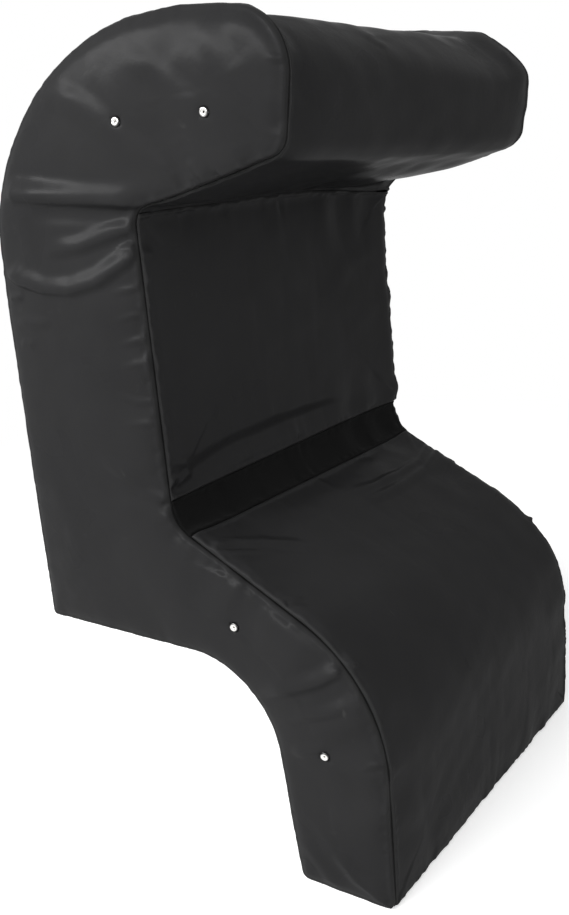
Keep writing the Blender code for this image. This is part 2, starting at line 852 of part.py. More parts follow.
def add_handle(name, centre_x, patch_finish):
    """One handle: two patches, two sewn tabs, the free strap and the padded grip."""
    free = cut_distance()
    sewn = grip_length / 2 + handle_ramp
    for end, direction in (("upper", 1), ("lower", -1)):
        middle = handle_height + direction * (sewn + tab_length / 2)
        low = (centre_x - patch_width / 2, back + metal_gap, middle - patch_length / 2)
        high = (centre_x + patch_width / 2, back + metal_gap + patch_thickness, middle + patch_length / 2)
        patch = box_bmesh(low, high)
        round_corners(patch, patch_radius, patch_segments)
        add_object(f"{name}_{end}_patch", patch, patch_finish)
        tab = strap_bmesh(centre_x)
        place = (0, 0, handle_height + direction * (free + strap_gap / 2))
        keep_side(tab, place, (0, 0, -direction))
        add_object(f"{name}_{end}_tab", tab, webbing())
    strap = strap_bmesh(centre_x)
    for direction in (1, -1):
        place = (0, 0, handle_height + direction * (free - strap_gap / 2))
        keep_side(strap, place, (0, 0, direction))
    hinge = add_pivot(f"{name}_hinge", (centre_x, strap_plane, handle_height))
    hang(add_object(f"{name}_strap", strap, webbing()), hinge)
    hang(add_grip(name, centre_x), hinge)


def add_grip(name, centre_x):
    """The oval padded sleeve, with a slot for the webbing."""
    middle = Vector((centre_x, strap_plane + handle_standoff, handle_height))
    length = grip_length - 2 * strap_gap
    ring = []
    for step in range(grip_steps):
        angle = math.tau * step / grip_steps
        x = grip_width / 2 * math.cos(angle)
        y = grip_depth / 2 * math.sin(angle)
        ring.append(middle + Vector((x, y, -length / 2)))
    grip = add_object(f"{name}_grip", extruded(ring, Vector((0, 0, length))), vinyl())
    slot_x = webbing_width / 2 + metal_gap
    slot_y = webbing_thickness / 2 + metal_gap
    reach = Vector((slot_x, slot_y, grip_length / 2 + overrun))
    boolean(grip, add_cutter(f"{name}_grip_slot", box_bmesh(middle - reach, middle + reach)))
    return grip


def main():
    """Builds the shield."""
    clear_scene()
    cover = Cover()
    blocks = add_foam_blocks(cover)
    strips = ["lower_front_panel", "recess_panel", "head_panel", "rear_panel_upper"]
    strips += ["rear_panel_lower", "step_panel", "base_panel"]
    for name in strips:
        add_panel(cover, name, vinyl())
    add_panel(cover, "crease_band", webbing())
    for side_name, side in (("right", -1), ("left", 1)):
        panel = add_panel(cover, f"{side_name}_side_panel", vinyl())
        add_eyelets(cover, side_name, side, panel, blocks)
    add_zip(blocks)
    for side_name, side in (("right", -1), ("left", 1)):
        add_handle(f"{side_name}_handle", side * handle_spacing / 2, vinyl())


main()
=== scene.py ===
import math

import bmesh
import bpy
import numpy as np
from mathutils import Matrix, Vector, noise
from mathutils.bvhtree import BVHTree
from mathutils.interpolate import poly_3d_calc


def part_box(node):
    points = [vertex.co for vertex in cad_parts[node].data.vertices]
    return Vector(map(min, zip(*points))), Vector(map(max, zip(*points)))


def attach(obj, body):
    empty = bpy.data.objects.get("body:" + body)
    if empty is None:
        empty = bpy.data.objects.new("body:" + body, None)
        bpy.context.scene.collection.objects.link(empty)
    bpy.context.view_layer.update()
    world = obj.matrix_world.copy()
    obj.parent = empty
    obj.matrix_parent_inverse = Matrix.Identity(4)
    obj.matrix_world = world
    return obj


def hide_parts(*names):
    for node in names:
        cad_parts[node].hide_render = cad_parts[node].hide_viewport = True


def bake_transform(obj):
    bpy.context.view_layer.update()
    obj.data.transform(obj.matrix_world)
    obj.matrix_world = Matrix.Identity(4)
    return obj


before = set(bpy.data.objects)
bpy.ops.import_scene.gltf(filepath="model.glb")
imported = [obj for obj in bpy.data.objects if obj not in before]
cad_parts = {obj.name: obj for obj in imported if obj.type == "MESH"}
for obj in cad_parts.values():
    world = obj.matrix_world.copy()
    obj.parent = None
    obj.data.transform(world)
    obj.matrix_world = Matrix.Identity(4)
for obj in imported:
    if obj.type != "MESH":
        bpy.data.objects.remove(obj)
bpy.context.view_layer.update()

# Camera: it stands where the photograph was taken. A pixel is a place in the 569 by 915 frame
camera_place = Vector((-1.156, -0.8255, 0.849))
camera_aim = Vector((0.77705, 0.56641, -0.27452)).normalized()
camera_right = Vector((0.56928, -0.81849, -0.07736)).normalized()
camera_up = camera_right.cross(camera_aim)
lens_mm = 41.9
sensor_mm = 36
frame_width = 569
frame_height = 915

# Light: soft boxes as (place, aim, size, spread, watts), and what the sky gives to a surface
lamps = {
    "left_light": ((-2.0, 1.0, 1.9), (0, 0, 0.5), (2.8, 0.4), 180, 88),
    "near_light": ((-2.0, -0.7, 1.5), (0, 0, 0.5), (1.6, 1.2), 180, 22),
    "right_light": ((1.6, -0.1, 2.4), (0, 0, 0.5), (1.4, 1.4), 180, 0.6),
    "front_light": ((-0.5, -1.9, 0.45), (0, -0.1, 0.78), (0.8, 0.5), 60, 1.3),
}
white = (1, 1, 1)
black = (0, 0, 0)
sky_light = 0.40
floor_size = 40
floor_colour = (0.8, 0.8, 0.8)
floor_glow = 0.55
floor_near = 0.7
floor_far = 2.2

# Vinyl: its roughness, and how far blotches and rubbing change it
vinyl_roughness = 0.28
vinyl_smoother = 0.05
vinyl_rougher = 0.06
vinyl_rubbed = 0.12
vinyl_specular = 0.026
# The share of that gloss left where the vinyl turns away from the viewer, and over what turning
vinyl_edge_gloss = 0.1
vinyl_turn_start = 0.25
vinyl_turn_full = 0.80
vinyl_dark = (0.0155, 0.0155, 0.0160)
vinyl_light = (0.0235, 0.0235, 0.0240)
vinyl_dust = (0.060, 0.060, 0.058)
seam_dust = 0.30
seam_dust_reach = (0.0006, 0.004)
scuff_dust = 0.35
base_thread = 0.0012
base_weave_share = 0.25
grain_warp = 0.0008
fine_pebble_share = 0.35

# Tape and webbing: the threads count to the metre along the piece's two ways, and not through it
tape_dark = (0.003, 0.003, 0.003)
tape_light = (0.0095, 0.0095, 0.0095)
tape_threads = (900, 900, 1)
tape_roughness = 0.85
webbing_threads = (700, 900, 1)
webbing_roughness = 0.8
woven_specular = 0.03
woven_sheen = 0.02
fluff_roughness = 0.08

# Metal, zip teeth, sewing thread and foam: the two colours between which each one's pattern runs
nickel_colours = ((0.60, 0.59, 0.57), (0.78, 0.77, 0.75))
# The near-black that the nickel turns to between these radii over an eyelet's outer flange: painted shade
# where the flange meets the vinyl, with some grime
flange_shade_and_grime_colour = (0.03, 0.03, 0.03)
flange_shade_and_grime_start = 0.0036
flange_shade_and_grime_full = 0.0048
plastic_colours = ((0.008, 0.008, 0.009), (0.03, 0.03, 0.031))
thread_colours = ((0.012, 0.012, 0.013), (0.026, 0.026, 0.027))
foam_colours = ((0.14, 0.14, 0.15), (0.08, 0.08, 0.085))

# Side profile of the cover, as the solids have it: depths from the front face, heights from the floor
body_height = 1.000
body_depth = 0.510
seam_width = 0.532
foot_depth = 0.128
foot_radius = 0.012
step_height = 0.275
step_depth = 0.157
step_radius = 0.120
heel_radius = 0.008
nose_height = 0.287
nose_radius = 0.195
crease_depth = 0.279
crease_height = 0.435
crease_radius = 0.042
recess_top_depth = 0.285
recess_top_drop = 0.203
recess_radius = 0.022
roll_lower_depth = 0.076
roll_lower_drop = 0.151
roll_lower_radius = 0.025
roll_upper_depth = 0.0555
roll_upper_drop = 0.0165
roll_upper_radius = 0.065
top_depth = 0.190
shoulder_drop = 0.260
band_width = 0.0508
fillet_share = 0.98
arc_steps = 24
shoulder_steps = 48

# Puff of the panels
side_crown = 0.024
side_reach = 0.110
panel_reach = 0.060
panel_crowns = {
    "lower_front_panel": 0.004,
    "recess_panel": 0.003,
    "head_panel": 0.006,
    "step_panel": 0.003,
}
crown_blur = 0.016
crown_blur_start = 0.008
crown_blur_full = 0.045
crown_margin = 0.03

# Mesh: spacing over a panel, the finer rows beside a seam, and the easing where they meet
pitch = 0.003
crown_pitch = pitch * 2
seam_rows = (0.0008, 0.0018, 0.0030, 0.0046, 0.0066)
seam_row_gap = 0.6
ease_reach = 0.020
ease_rounds = 12
side_lean_reach = 0.020
side_lean_share = 0.8
# Over this distance from a seam two panels turn from the way that they share there to their own
seam_turn_reach = 0.006
cover_wall = 0.0015
weld_distance = 0.00001
sleeve_weld = weld_distance / 10
foam_voxel = 0.010
foam_slack = 0.010
foam_ease_rounds = 4
sharp_angle = math.radians(25)
flat_angle = math.radians(2)
# A distance that stands for no seam and no hem near
nowhere_near = 1
# The shortest length that a way is divided by
least_length = 1e-12
# How many places are compared with the outline at a time
outline_batch = 4000

# Seams: the drawn-in line, the rib of the allowance behind it, and how far from a seam folds, wrinkles
# and swells begin and are full
seam_depth = 0.0014
seam_width_near = 0.0010
seam_rib_place = 0.0034
seam_rib_width = 0.0018
seam_rib_height = 0.0013
side_rib_share = 1.2
fold_seam_reach = (0.0004, 0.005)
wrinkle_seam_reach = (0.0004, 0.004)
swell_seam_reach = (0.002, 0.05)

# Puckers along the seams. They come in groups, and the least of a group keeps a share of its height
pucker_reach = 0.007
pucker_length = 0.011
pucker_height = 0.0019
pucker_group = 4
pucker_least = 0.45
# Broad puckers lie under them, by these shares of their reach, height and length
broad_reach_share = 3
broad_height_share = 1.3
broad_length_share = 3.3
pucker_shares = {
    "right_side_panel": 1.6,
    "left_side_panel": 1.6,
    "recess_panel": 1.2,
    "lower_front_panel": 0.8,
    "head_panel": 0.4,
    "rear_panel_upper": 0.4,
    "step_panel": 0.5,
}
# A side's seam is lively up to this far round the outline, from the foot over the recess to the roll
pucker_lively_run = 1.13
pucker_quiet_run = 1.20
pucker_quiet_share = 0.3
ladder_place = 0.0042
ladder_width = 0.0026
ladder_height = 0.0011
ladder_step = 0.0065

# Uneven waves: how many draws a seam's wave has, where it starts in them, and what a swell is made of
wave_draws = 4096
wave_start = 1000
swell_waves = 14
swell_wave_spread = (0.7, 1.4)

# Slow unevenness of foam and cloth
swell_height = 0.0009
swell_length = 0.16
fine_swell_height = 0.0003
fine_swell_length = 0.05

# How the stuffing lies. Each move has its way; depths, heights and shares of the width say where it acts
droop_depth = 0.270
droop_run = 0.12
droop_height = 0.76
droop_rise = 0.05
droop_way = (0.002, 0.002, -0.0075)
roll_push = (0.002, -0.020, -0.003)
roll_push_heights = (0.93, 0.985)
roll_push_shares = (0.3, 1)
top_sag = (0, 0.004, -0.0145)
top_sag_reach = 0.030
top_sag_heights = (0.82, 1.0)
top_sag_depths = (0.18, 0.40)
top_sag_shares = (0.88, 1)
shoulder_fill = (0, 0, 0.0065)
shoulder_depths = (0.2, 0.34)
shoulder_heights = (0.70, 0.82)
corner_fill = (0, -0.012, -0.014)
corner_fill_reach = 0.030
corner_fill_shares = (0.6, 1)
recess_push = (0.002, -0.004, 0)
recess_push_reach = 0.05
recess_push_shares = (0.7, 1)
recess_push_low = (0.44, 0.50)
recess_push_high = (0.76, 0.80)
band_push = (0.006, -0.005, 0)
band_push_height = 0.480
band_push_reach = 0.018
nose_droop = (0, 0.002, -0.010)
nose_droop_run = 0.035
nose_droop_heights = (0.20, 0.34)
nose_top = 0.5
past_far_side = 1.1

# How much fuller the recess and the lower pad are just inside their side seams
edge_puff = 0.004
edge_puff_reach = 0.012
edge_puff_heights = (0.12, 0.3)

# Allowance that shows under the recess panel beside its near seam
allowance_width = 0.010
allowance_step = 0.0025
allowance_height = 0.0009

# Vent eyelets: section of the ring, its washer, and how the vinyl is pressed flat round it
eyelet_bore = 0.0009
eyelet_barrel = 0.0036
eyelet_flange = 0.0060
eyelet_dome = 0.0021
eyelet_dome_power = 0.6
eyelet_lip = 0.0004
eyelet_edge = 0.0001
eyelet_under = 0.0002
eyelet_depth = 0.0032
eyelet_foot = 0.0050
eyelet_foot_neck = 0.0009
eyelet_foot_top = 0.0005
eyelet_foot_round = 0.0002
eyelet_steps = 48
eyelet_dome_steps = 14
washer_thickness = 0.0006
washer_bevel = 0.00012
washer_gap = 0.0001
vinyl_hole = 0.0044
vinyl_hole_cut = vinyl_hole * 0.9
vinyl_hole_reach = 0.0075
seat_radius = 0.0068
seat_reach = 0.0115
seat_fit_reach = seat_radius + 0.003
seat_dimple = 0.0006

# Zip: hemmed panel edges, woven tapes, and the rounding of teeth and metal
hem_width = 0.0075
hem_height = 0.0008
hem_fold = 0.001
hem_stitch_far = 0.0050
hem_stitch_dip = 0.0005
hem_stitch_width = 0.0012
hem_stitch_inset = 0.004
tape_under_hem = 0.007
tape_thickness = 0.0008
tape_dip = 0.0012
tape_dip_start = 0.4
tape_cord_height = 0.0003
tape_cord_width = 0.0007
tape_columns = 264
tape_rows = 24
end_tab_height = 0.0120
end_tab_thickness = 0.0011
end_tab_gap = 0.0045
end_tab_inset = 0.0005
end_tab_bevel = 0.0003
tooth_bevel = 0.0002
metal_bevel = 0.0003

# Handles: webbing that runs from its sewn tabs through a padded grip, on patches
webbing_width = 0.032
webbing_thickness = 0.0024
webbing_ribs = 24
webbing_rib_height = 0.03
handle_standoff = 0.050
grip_length = 0.110
grip_width = 0.040
grip_depth = 0.024
grip_turn = 0.005
handle_ramp = 0.050
tab_length = 0.042
path_step = 0.001
webbing_power = 0.35
grip_power = 0.85
webbing_rows = 90
webbing_steps = 40
grip_rows = 70
grip_steps = 56
# The grip's vinyl lies a little inside its size, draws in at its ends and bulges in the middle
grip_side_inset = 0.0015
grip_face_inset = 0.0010
grip_end_depth = 0.72
grip_end_width = 0.86
grip_bulge = 0.06
grip_crease_height = 0.0007
grip_creases_along = 22
grip_creases_round = 1.2
grip_seam_depth = 0.0010
grip_seam_spread = 0.006
patch_pitch = 0.0012
patch_corner = 0.006
patch_edge = 0.0022
patch_wall_share = 0.8
patch_stitch_far = 0.0035
patch_stitch_dip = 0.0004
patch_stitch_width = 0.0011
patch_stitch_sunk = 0.6
patch_swell_height = 0.0002
patch_swells = 120
calm_margin = 0.012
calm_reach = 0.030

# Thread
stitch_length = 0.0030
stitch_gap = 0.0012
stitch_radius = 0.00038
tab_stitch_inset = 0.0035
grip_stitch_gap = 0.0035
grip_stitch_inset = 0.006
grip_stitch_height = 0.0012

# Cloth: a coarse copy of the cover is blown up, and the skins take its wrinkles
cloth_pitch = 0.009
cloth_frames = 20
cloth_quality = 5
cloth_stiffness = 12
cloth_bending = 0.02
cloth_pressure = 3
cloth_slack = 0.025
cloth_swell_rounds = 60
cloth_shares = {
    "right_side_panel": 0.2,
    "left_side_panel": 0.6,
    "recess_panel": 0.12,
    "lower_front_panel": 0.15,
    "crease_band": 0.25,
    "head_panel": 0.35,
    "rear_panel_upper": 0.7,
    "rear_panel_lower": 0.2,
    "step_panel": 0.7,
    "base_panel": 0.3,
}
cloth_cap = 0.004
cloth_ease_rounds = 3

# Folds: how their ends run out where the list doesn't say, and how they fade on faces seen edge on
mm_in_metre = 1000
fold_taper = (0.3, 0.3)
fold_facing = 0.08

# Folds that the photograph shows, by panel: crest line in pixels, height in mm, and the widths in
# pixels of the slopes on the left and right of its way, then the shares over which its ends run out
photo_folds = {
    "right_side_panel": [
        ([(2, 194), (50, 199), (100, 201), (150, 204)], 8.2, 24, 10, (0.1, 0.2)),
        ([(20, 214), (90, 217), (140, 214)], -2.5, 12, 14, (0.3, 0.2)),
        ([(34, 254), (80, 247), (110, 235), (143, 222)], 5.4, 17, 10, (0.4, 0.03)),
        (
            [(6, 268), (20, 281), (45, 290), (72, 291), (100, 282), (122, 266), (139, 248)],
            7.4, 20, 8, (0.08, 0.03),
        ),
        ([(9, 300), (24, 296)], 3.5, 8, 5),
        ([(14, 321), (52, 325)], 2.6, 10, 7),
        ([(20, 342), (36, 346)], 1.6, 8, 6),
        ([(98, 452), (122, 474), (146, 494), (171, 500)], 3.4, 10, 8, (0.4, 0.1)),
        ([(150, 503), (166, 517), (182, 534)], 2.2, 8, 6),
        ([(40, 84), (86, 108), (132, 146), (172, 184)], 2.6, 18, 22, (0.2, 0.3)),
        ([(110, 44), (150, 66), (186, 100), (206, 150)], 1.4, 18, 20),
        ([(196, 20), (218, 52), (232, 96)], 1.2, 20, 18),
        ([(150, 152), (178, 184)], 1.6, 6, 6),
        ([(186, 160), (208, 182)], 1.6, 6, 6),
        ([(268, 56), (286, 60)], 1.8, 6, 5, (0.3, 0.1)),
        ([(272, 132), (286, 138)], 2.0, 5, 5, (0.3, 0.1)),
        ([(256, 694), (290, 690), (318, 683), (343, 670)], 6.0, 17, 8, (0.3, 0.08)),
        ([(284, 718), (322, 714), (352, 706)], 4.0, 14, 8, (0.4, 0.2)),
        ([(288, 752), (318, 752), (332, 744)], 2.8, 12, 8),
        ([(330, 846), (356, 878), (392, 902)], 3.0, 12, 9),
        ([(302, 836), (330, 878), (350, 894)], 2.2, 10, 8),
        ([(112, 250), (138, 246)], 1.8, 6, 5, (0.5, 0.05)),
        ([(110, 294), (141, 288)], 2.2, 6, 4, (0.5, 0.05)),
        ([(112, 322), (143, 314)], 2.0, 6, 4, (0.5, 0.05)),
        ([(118, 346), (147, 338)], 2.0, 6, 5, (0.5, 0.05)),
        ([(120, 368), (150, 362)], 1.6, 6, 5, (0.5, 0.05)),
        ([(112, 392), (136, 402), (153, 402)], 2.2, 6, 5, (0.5, 0.05)),
        ([(124, 424), (156, 424)], 1.6, 6, 5, (0.5, 0.05)),
        ([(186, 562), (206, 573), (232, 580)], 2.4, 7, 6),
        ([(356, 768), (390, 764)], 3.0, 6, 4, (0.5, 0.1)),
    ],
    "head_panel": [
        ([(150, 214), (200, 208), (262, 198), (325, 188), (345, 184)], 2.5, 8, 8),
        ([(318, 192), (346, 181), (376, 175), (404, 171), (440, 166)], 4.0, 9, 9),
        ([(150, 221), (206, 213), (262, 206), (330, 192)], -2.0, 5, 6),
        ([(148, 208), (158, 214), (170, 212)], 3.0, 4, 4, (0.1, 0.3)),
        ([(146, 216), (160, 218)], 2.5, 3, 3, (0.1, 0.3)),
        ([(362, 32), (376, 40), (392, 48)], 1.2, 5, 4),
        ([(344, 27), (370, 34), (398, 38)], 1.0, 5, 4),
        ([(298, 60), (303, 90), (310, 112)], -1.4, 10, 10),
        ([(500, 46), (508, 56), (514, 66)], 1.4, 5, 4),
    ],
    "recess_panel": [
        (
            [(176, 497), (186, 482), (198, 470), (230, 449), (280, 427), (330, 409), (378, 399)],
            -5.5, 15, 16, (0.03, 0.25),
        ),
        ([(164, 484), (180, 481), (198, 470)], 4.5, 8, 7, (0.1, 0.3)),
        ([(168, 462), (184, 464), (196, 470)], 2.0, 5, 4),
        ([(176, 508), (188, 507), (206, 498)], 2.5, 5, 4, (0.1, 0.3)),
        ([(140, 256), (156, 252)], 2.0, 7, 5, (0.1, 0.5)),
        ([(141, 282), (152, 276)], 1.6, 6, 5, (0.1, 0.5)),
        ([(146, 346), (164, 350)], 1.6, 6, 5, (0.1, 0.5)),
        ([(250, 350), (300, 322), (350, 300), (386, 290)], 1.6, 26, 20),
        ([(330, 300), (345, 262), (378, 248)], 1.6, 14, 12),
        ([(180, 330), (205, 350), (212, 400)], 1.0, 20, 16),
    ],
    "crease_band": [
        ([(184, 534), (204, 527), (226, 524)], 1.6, 6, 5),
        ([(192, 540), (212, 548)], -1.4, 5, 4),
    ],
    "lower_front_panel": [
        ([(209, 549), (232, 545), (262, 543), (296, 545), (330, 552)], 5.5, 9, 6, (0.05, 0.5)),
        ([(206, 555), (236, 554), (266, 551)], 3.0, 4, 4, (0.05, 0.4)),
        ([(428, 446), (418, 462), (398, 474), (372, 486), (340, 494)], 4.0, 7, 6, (0.05, 0.5)),
        ([(438, 452), (424, 470), (404, 484), (380, 496), (350, 506)], 5.0, 8, 8, (0.05, 0.5)),
        ([(284, 606), (302, 604), (320, 612)], -2.4, 5, 5, (0.05, 0.5)),
        ([(340, 652), (348, 660), (356, 672)], 3.0, 5, 5),
        ([(344, 668), (362, 664)], 1.8, 5, 4, (0.1, 0.5)),
    ],
}

# The cover's back: where the solids end
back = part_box("rear_panel_upper")[1].y
front = back - body_depth
half_width = seam_width / 2
zip_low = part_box("rear_panel_lower")[1].z
zip_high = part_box("rear_panel_upper")[0].z

side_panels = {"right_side_panel": -1, "left_side_panel": 1}
hemmed_ends = {"rear_panel_upper": 1, "rear_panel_lower": 0}
handles = ("right_handle", "left_handle")
# The way that the upper and lower pieces on the back lie from the zip's or the grip's middle
back_ends = {"upper": 1, "lower": -1}
up_way = Vector((0, 0, 1))
back_way = Vector((0, 1, 0))


def smooth_step(value, low, high):
    """0 below low, 1 above high, and a smooth way between."""
    share = np.clip((np.asarray(value, float) - low) / (high - low), 0, 1)
    return share * share * (3 - 2 * share)


def falling(value, low, high):
    """1 below low, 0 above high, and a smooth way between."""
    return smooth_step(-value, -high, -low)


def rise(far, reach):
    """How far a strip has come up at a distance from its seam: 0 at the seam, 1 past the reach."""
    return 1 - (1 - np.clip(far / reach, 0, 1)) ** 2


def peak(value, centre, width):
    """1 at the centre, and nearly 0 two widths away from it."""
    return np.exp(-((value - centre) / width) ** 2)


def hump(far, reach):
    """0 at a seam, 1 at the reach, and low again some reaches on."""
    share = far / reach
    return share * np.exp(1 - share)


def unit(vectors):
    """Rows of vectors brought to length 1."""
    return vectors / np.maximum(np.linalg.norm(vectors, axis=-1, keepdims=True), least_length)


def rounded(before, corner, after, radius):
    """Arc points that round a corner of the side profile."""
    to_before = before - corner
    to_after = after - corner
    half_angle = to_before.angle(to_after) / 2
    reach = radius / math.tan(half_angle)
    reach = min(reach, fillet_share * min(to_before.length, to_after.length))
    bisector = (to_before.normalized() + to_after.normalized()).normalized()
    centre = corner + bisector * (reach / math.cos(half_angle))
    first = corner + to_before.normalized() * reach - centre
    last = corner + to_after.normalized() * reach - centre
    return [centre + first.slerp(last, i / arc_steps) * first.length for i in range(arc_steps + 1)]


def profile_corners():
    """Corners of the side profile: (place, rounding radius, panel that starts there)."""
    nose = Vector((0, nose_height))
    crease = Vector((crease_depth, crease_height))
    recess_top = Vector((recess_top_depth, body_height - recess_top_drop))
    to_nose = (nose - crease).normalized()
    to_recess = (recess_top - crease).normalized()
    half_angle = to_nose.angle(to_recess) / 2
    crease_arc = crease_radius * (math.pi - 2 * half_angle)
    band_end = crease_radius / math.tan(half_angle) + (band_width - crease_arc) / 2
    corners = [
        (Vector((0, 0)), foot_radius, "lower_front_panel"),
        (nose, nose_radius, None),
        (crease + to_nose * band_end, 0, "crease_band"),
        (crease, crease_radius, None),
        (crease + to_recess * band_end, 0, "recess_panel"),
        (recess_top, recess_radius, "head_panel"),
        (Vector((roll_lower_depth, body_height - roll_lower_drop)), roll_lower_radius, None),
        (Vector((roll_upper_depth, body_height - roll_upper_drop)), roll_upper_radius, None),
    ]
    for step in range(shoulder_steps + 1):
        angle = math.pi / 2 * step / shoulder_steps
        depth = top_depth + (body_depth - top_depth) * math.sin(angle)
        height = body_height - shoulder_drop * (1 - math.cos(angle))
        corners.append((Vector((depth, height)), 0, "rear_panel_upper" if step == shoulder_steps else None))
    corners += [
        (Vector((body_depth, zip_high)), 0, "zip"),
        (Vector((body_depth, zip_low)), 0, "rear_panel_lower"),
        (Vector((body_depth, step_height)), heel_radius, "step_panel"),
        (Vector((step_depth, step_height)), step_radius, None),
        (Vector((foot_depth, 0)), foot_radius, "base_panel"),
    ]
    return corners


def stations(length, spacing, rows):
    """Places along a length: fine rows at both ends, and an even spacing between them."""
    rows = [0, *[row for row in rows if row < length / 3]]
    middle = length - 2 * rows[-1]
    count = max(1, round(middle / spacing))
    even = [rows[-1] + middle * i / count for i in range(1, count)]
    return np.array(rows + even + [length - row for row in reversed(rows)])


def profile_runs(spacing, rows):
    """The profile cut at its seams: for each panel, (places, outward ways, stations) along it."""
    corners = profile_corners()
    path = []
    for index, (corner, radius, panel) in enumerate(corners):
        if not radius:
            path.append((corner, panel))
            continue
        arc = rounded(corners[index - 1][0], corner, corners[(index + 1) % len(corners)][0], radius)
        path += [(place, panel if i == arc_steps // 2 else None) for i, place in enumerate(arc)]
    starts = [i for i, (_, panel) in enumerate(path) if panel]
    places = np.array([place for place, _ in path])
    ahead = np.roll(places, -1, 0) - places
    steps = np.linalg.norm(ahead, axis=1)
    ways = unit(unit(ahead) + unit(np.roll(ahead, 1, 0)))
    outward = np.stack([-ways[:, 1], ways[:, 0]], 1)
    runs = {}
    for number, first in enumerate(starts):
        last = starts[(number + 1) % len(starts)]
        index = np.arange(first, last + 1 if last > first else last + len(path) + 1) % len(path)
        far = np.concatenate([[0], np.cumsum(steps[index[:-1]])])
        at = stations(far[-1], spacing, rows)
        here = np.stack([np.interp(at, far, places[index, k]) for k in (0, 1)], 1)
        out = unit(np.stack([np.interp(at, far, outward[index, k]) for k in (0, 1)], 1))
        runs[path[first][1]] = (here, out, at)
    return runs


def joined_places(runs):
    """The whole profile as one closed row of places."""
    return np.concatenate([places[:-1] for places, _, _ in runs.values()])


runs = profile_runs(pitch, seam_rows)
outline = joined_places(runs)
outline_out = np.concatenate([out[:-1] for _, out, _ in runs.values()])
run_ends = np.cumsum([along[-1] for _, _, along in runs.values()])
run_starts = dict(zip(runs, [0, *run_ends[:-1]]))
outline_run = np.concatenate([run_starts[name] + runs[name][2][:-1] for name in runs])


def nearest_on_outline(flat):
    """For (depth, height) places: the index of the nearest outline point and how far it is."""
    index = np.empty(len(flat), int)
    best = np.empty(len(flat))
    for first in range(0, len(flat), outline_batch):
        part = flat[first:first + outline_batch]
        gaps = ((part[:, None, :] - outline[None]) ** 2).sum(2)
        index[first:first + outline_batch] = gaps.argmin(1)
        best[first:first + outline_batch] = gaps.min(1)
    return index, np.sqrt(best)


def inside_outline(flat):
    """True for the (depth, height) places inside the side profile."""
    ends = np.roll(outline, -1, 0)
    found = np.zeros(len(flat), bool)
    for start, end in zip(outline, ends):
        if start[1] == end[1]:
            continue
        crosses = (start[1] > flat[:, 1]) != (end[1] > flat[:, 1])
        at = start[0] + (flat[:, 1] - start[1]) * (end[0] - start[0]) / (end[1] - start[1])
        found ^= crosses & (flat[:, 0] < at)
    return found


class SideCrown:
    """The height of a side panel over its seam plane, smoothed where slopes from two seams meet."""

    def __init__(self):
        self.columns = np.arange(-crown_margin, body_depth + crown_margin, crown_pitch)
        self.rows = np.arange(-crown_margin, body_height + crown_margin, crown_pitch)
        depth, height = np.meshgrid(self.columns, self.rows)
        flat = np.stack([depth.ravel(), height.ravel()], 1)
        _, far = nearest_on_outline(flat)
        far = np.where(inside_outline(flat), far, 0)
        raw = np.sqrt(rise(far, side_reach)).reshape(depth.shape)
        weight = smooth_step(far.reshape(depth.shape), crown_blur_start, crown_blur_full)
        self.shares = self.blur(raw * (1 - weight) + self.blur(raw) * weight)

    def blur(self, field):
        """A soft average over the crown's blur length."""
        sigma = crown_blur / crown_pitch
        reach = int(3 * sigma)
        taps = np.arange(-reach, reach + 1)
        kernel = np.exp(-taps ** 2 / (2 * sigma ** 2))
        kernel /= kernel.sum()
        for axis in (0, 1):
            field = np.apply_along_axis(lambda line: np.convolve(line, kernel, "same"), axis, field)
        return field

    def sample(self, flat):
        """The blurred shares read between the places of their grid."""
        u = np.clip((flat[:, 0] - self.columns[0]) / crown_pitch, 0, len(self.columns) - 2)
        v = np.clip((flat[:, 1] - self.rows[0]) / crown_pitch, 0, len(self.rows) - 2)
        i, j = u.astype(int), v.astype(int)
        u, v = u - i, v - j
        low = self.shares[j, i] * (1 - u) + self.shares[j, i + 1] * u
        high = self.shares[j + 1, i] * (1 - u) + self.shares[j + 1, i + 1] * u
        return low * (1 - v) + high * v

    def height(self, flat, far):
        """The crown's height at (depth, height) places that lie so far from the seam."""
        weight = smooth_step(far, crown_blur_start, crown_blur_full)
        near = np.sqrt(rise(far, side_reach))
        return side_crown * (near * (1 - weight) + self.sample(flat) * weight)


crown = SideCrown()


class Skin:
    """One panel of the cover while it is shaped: its mesh, rest places, facing and seam distances."""

    def __init__(self, name, bm, places, facing, seam_far, seam_run, common, sheet, hem_far=nowhere_near):
        self.name = name
        self.sheet = np.insert(sheet, 2, 0, 1)
        self.hem_far = np.broadcast_to(hem_far, len(places))
        self.bm = bm
        self.places = places
        self.facing = facing
        self.seam_far = seam_far
        self.seam_run = seam_run
        edge = smooth_step(seam_far, 0, seam_turn_reach)[:, None]
        self.lift_way = unit(common * (1 - edge) + facing * edge)


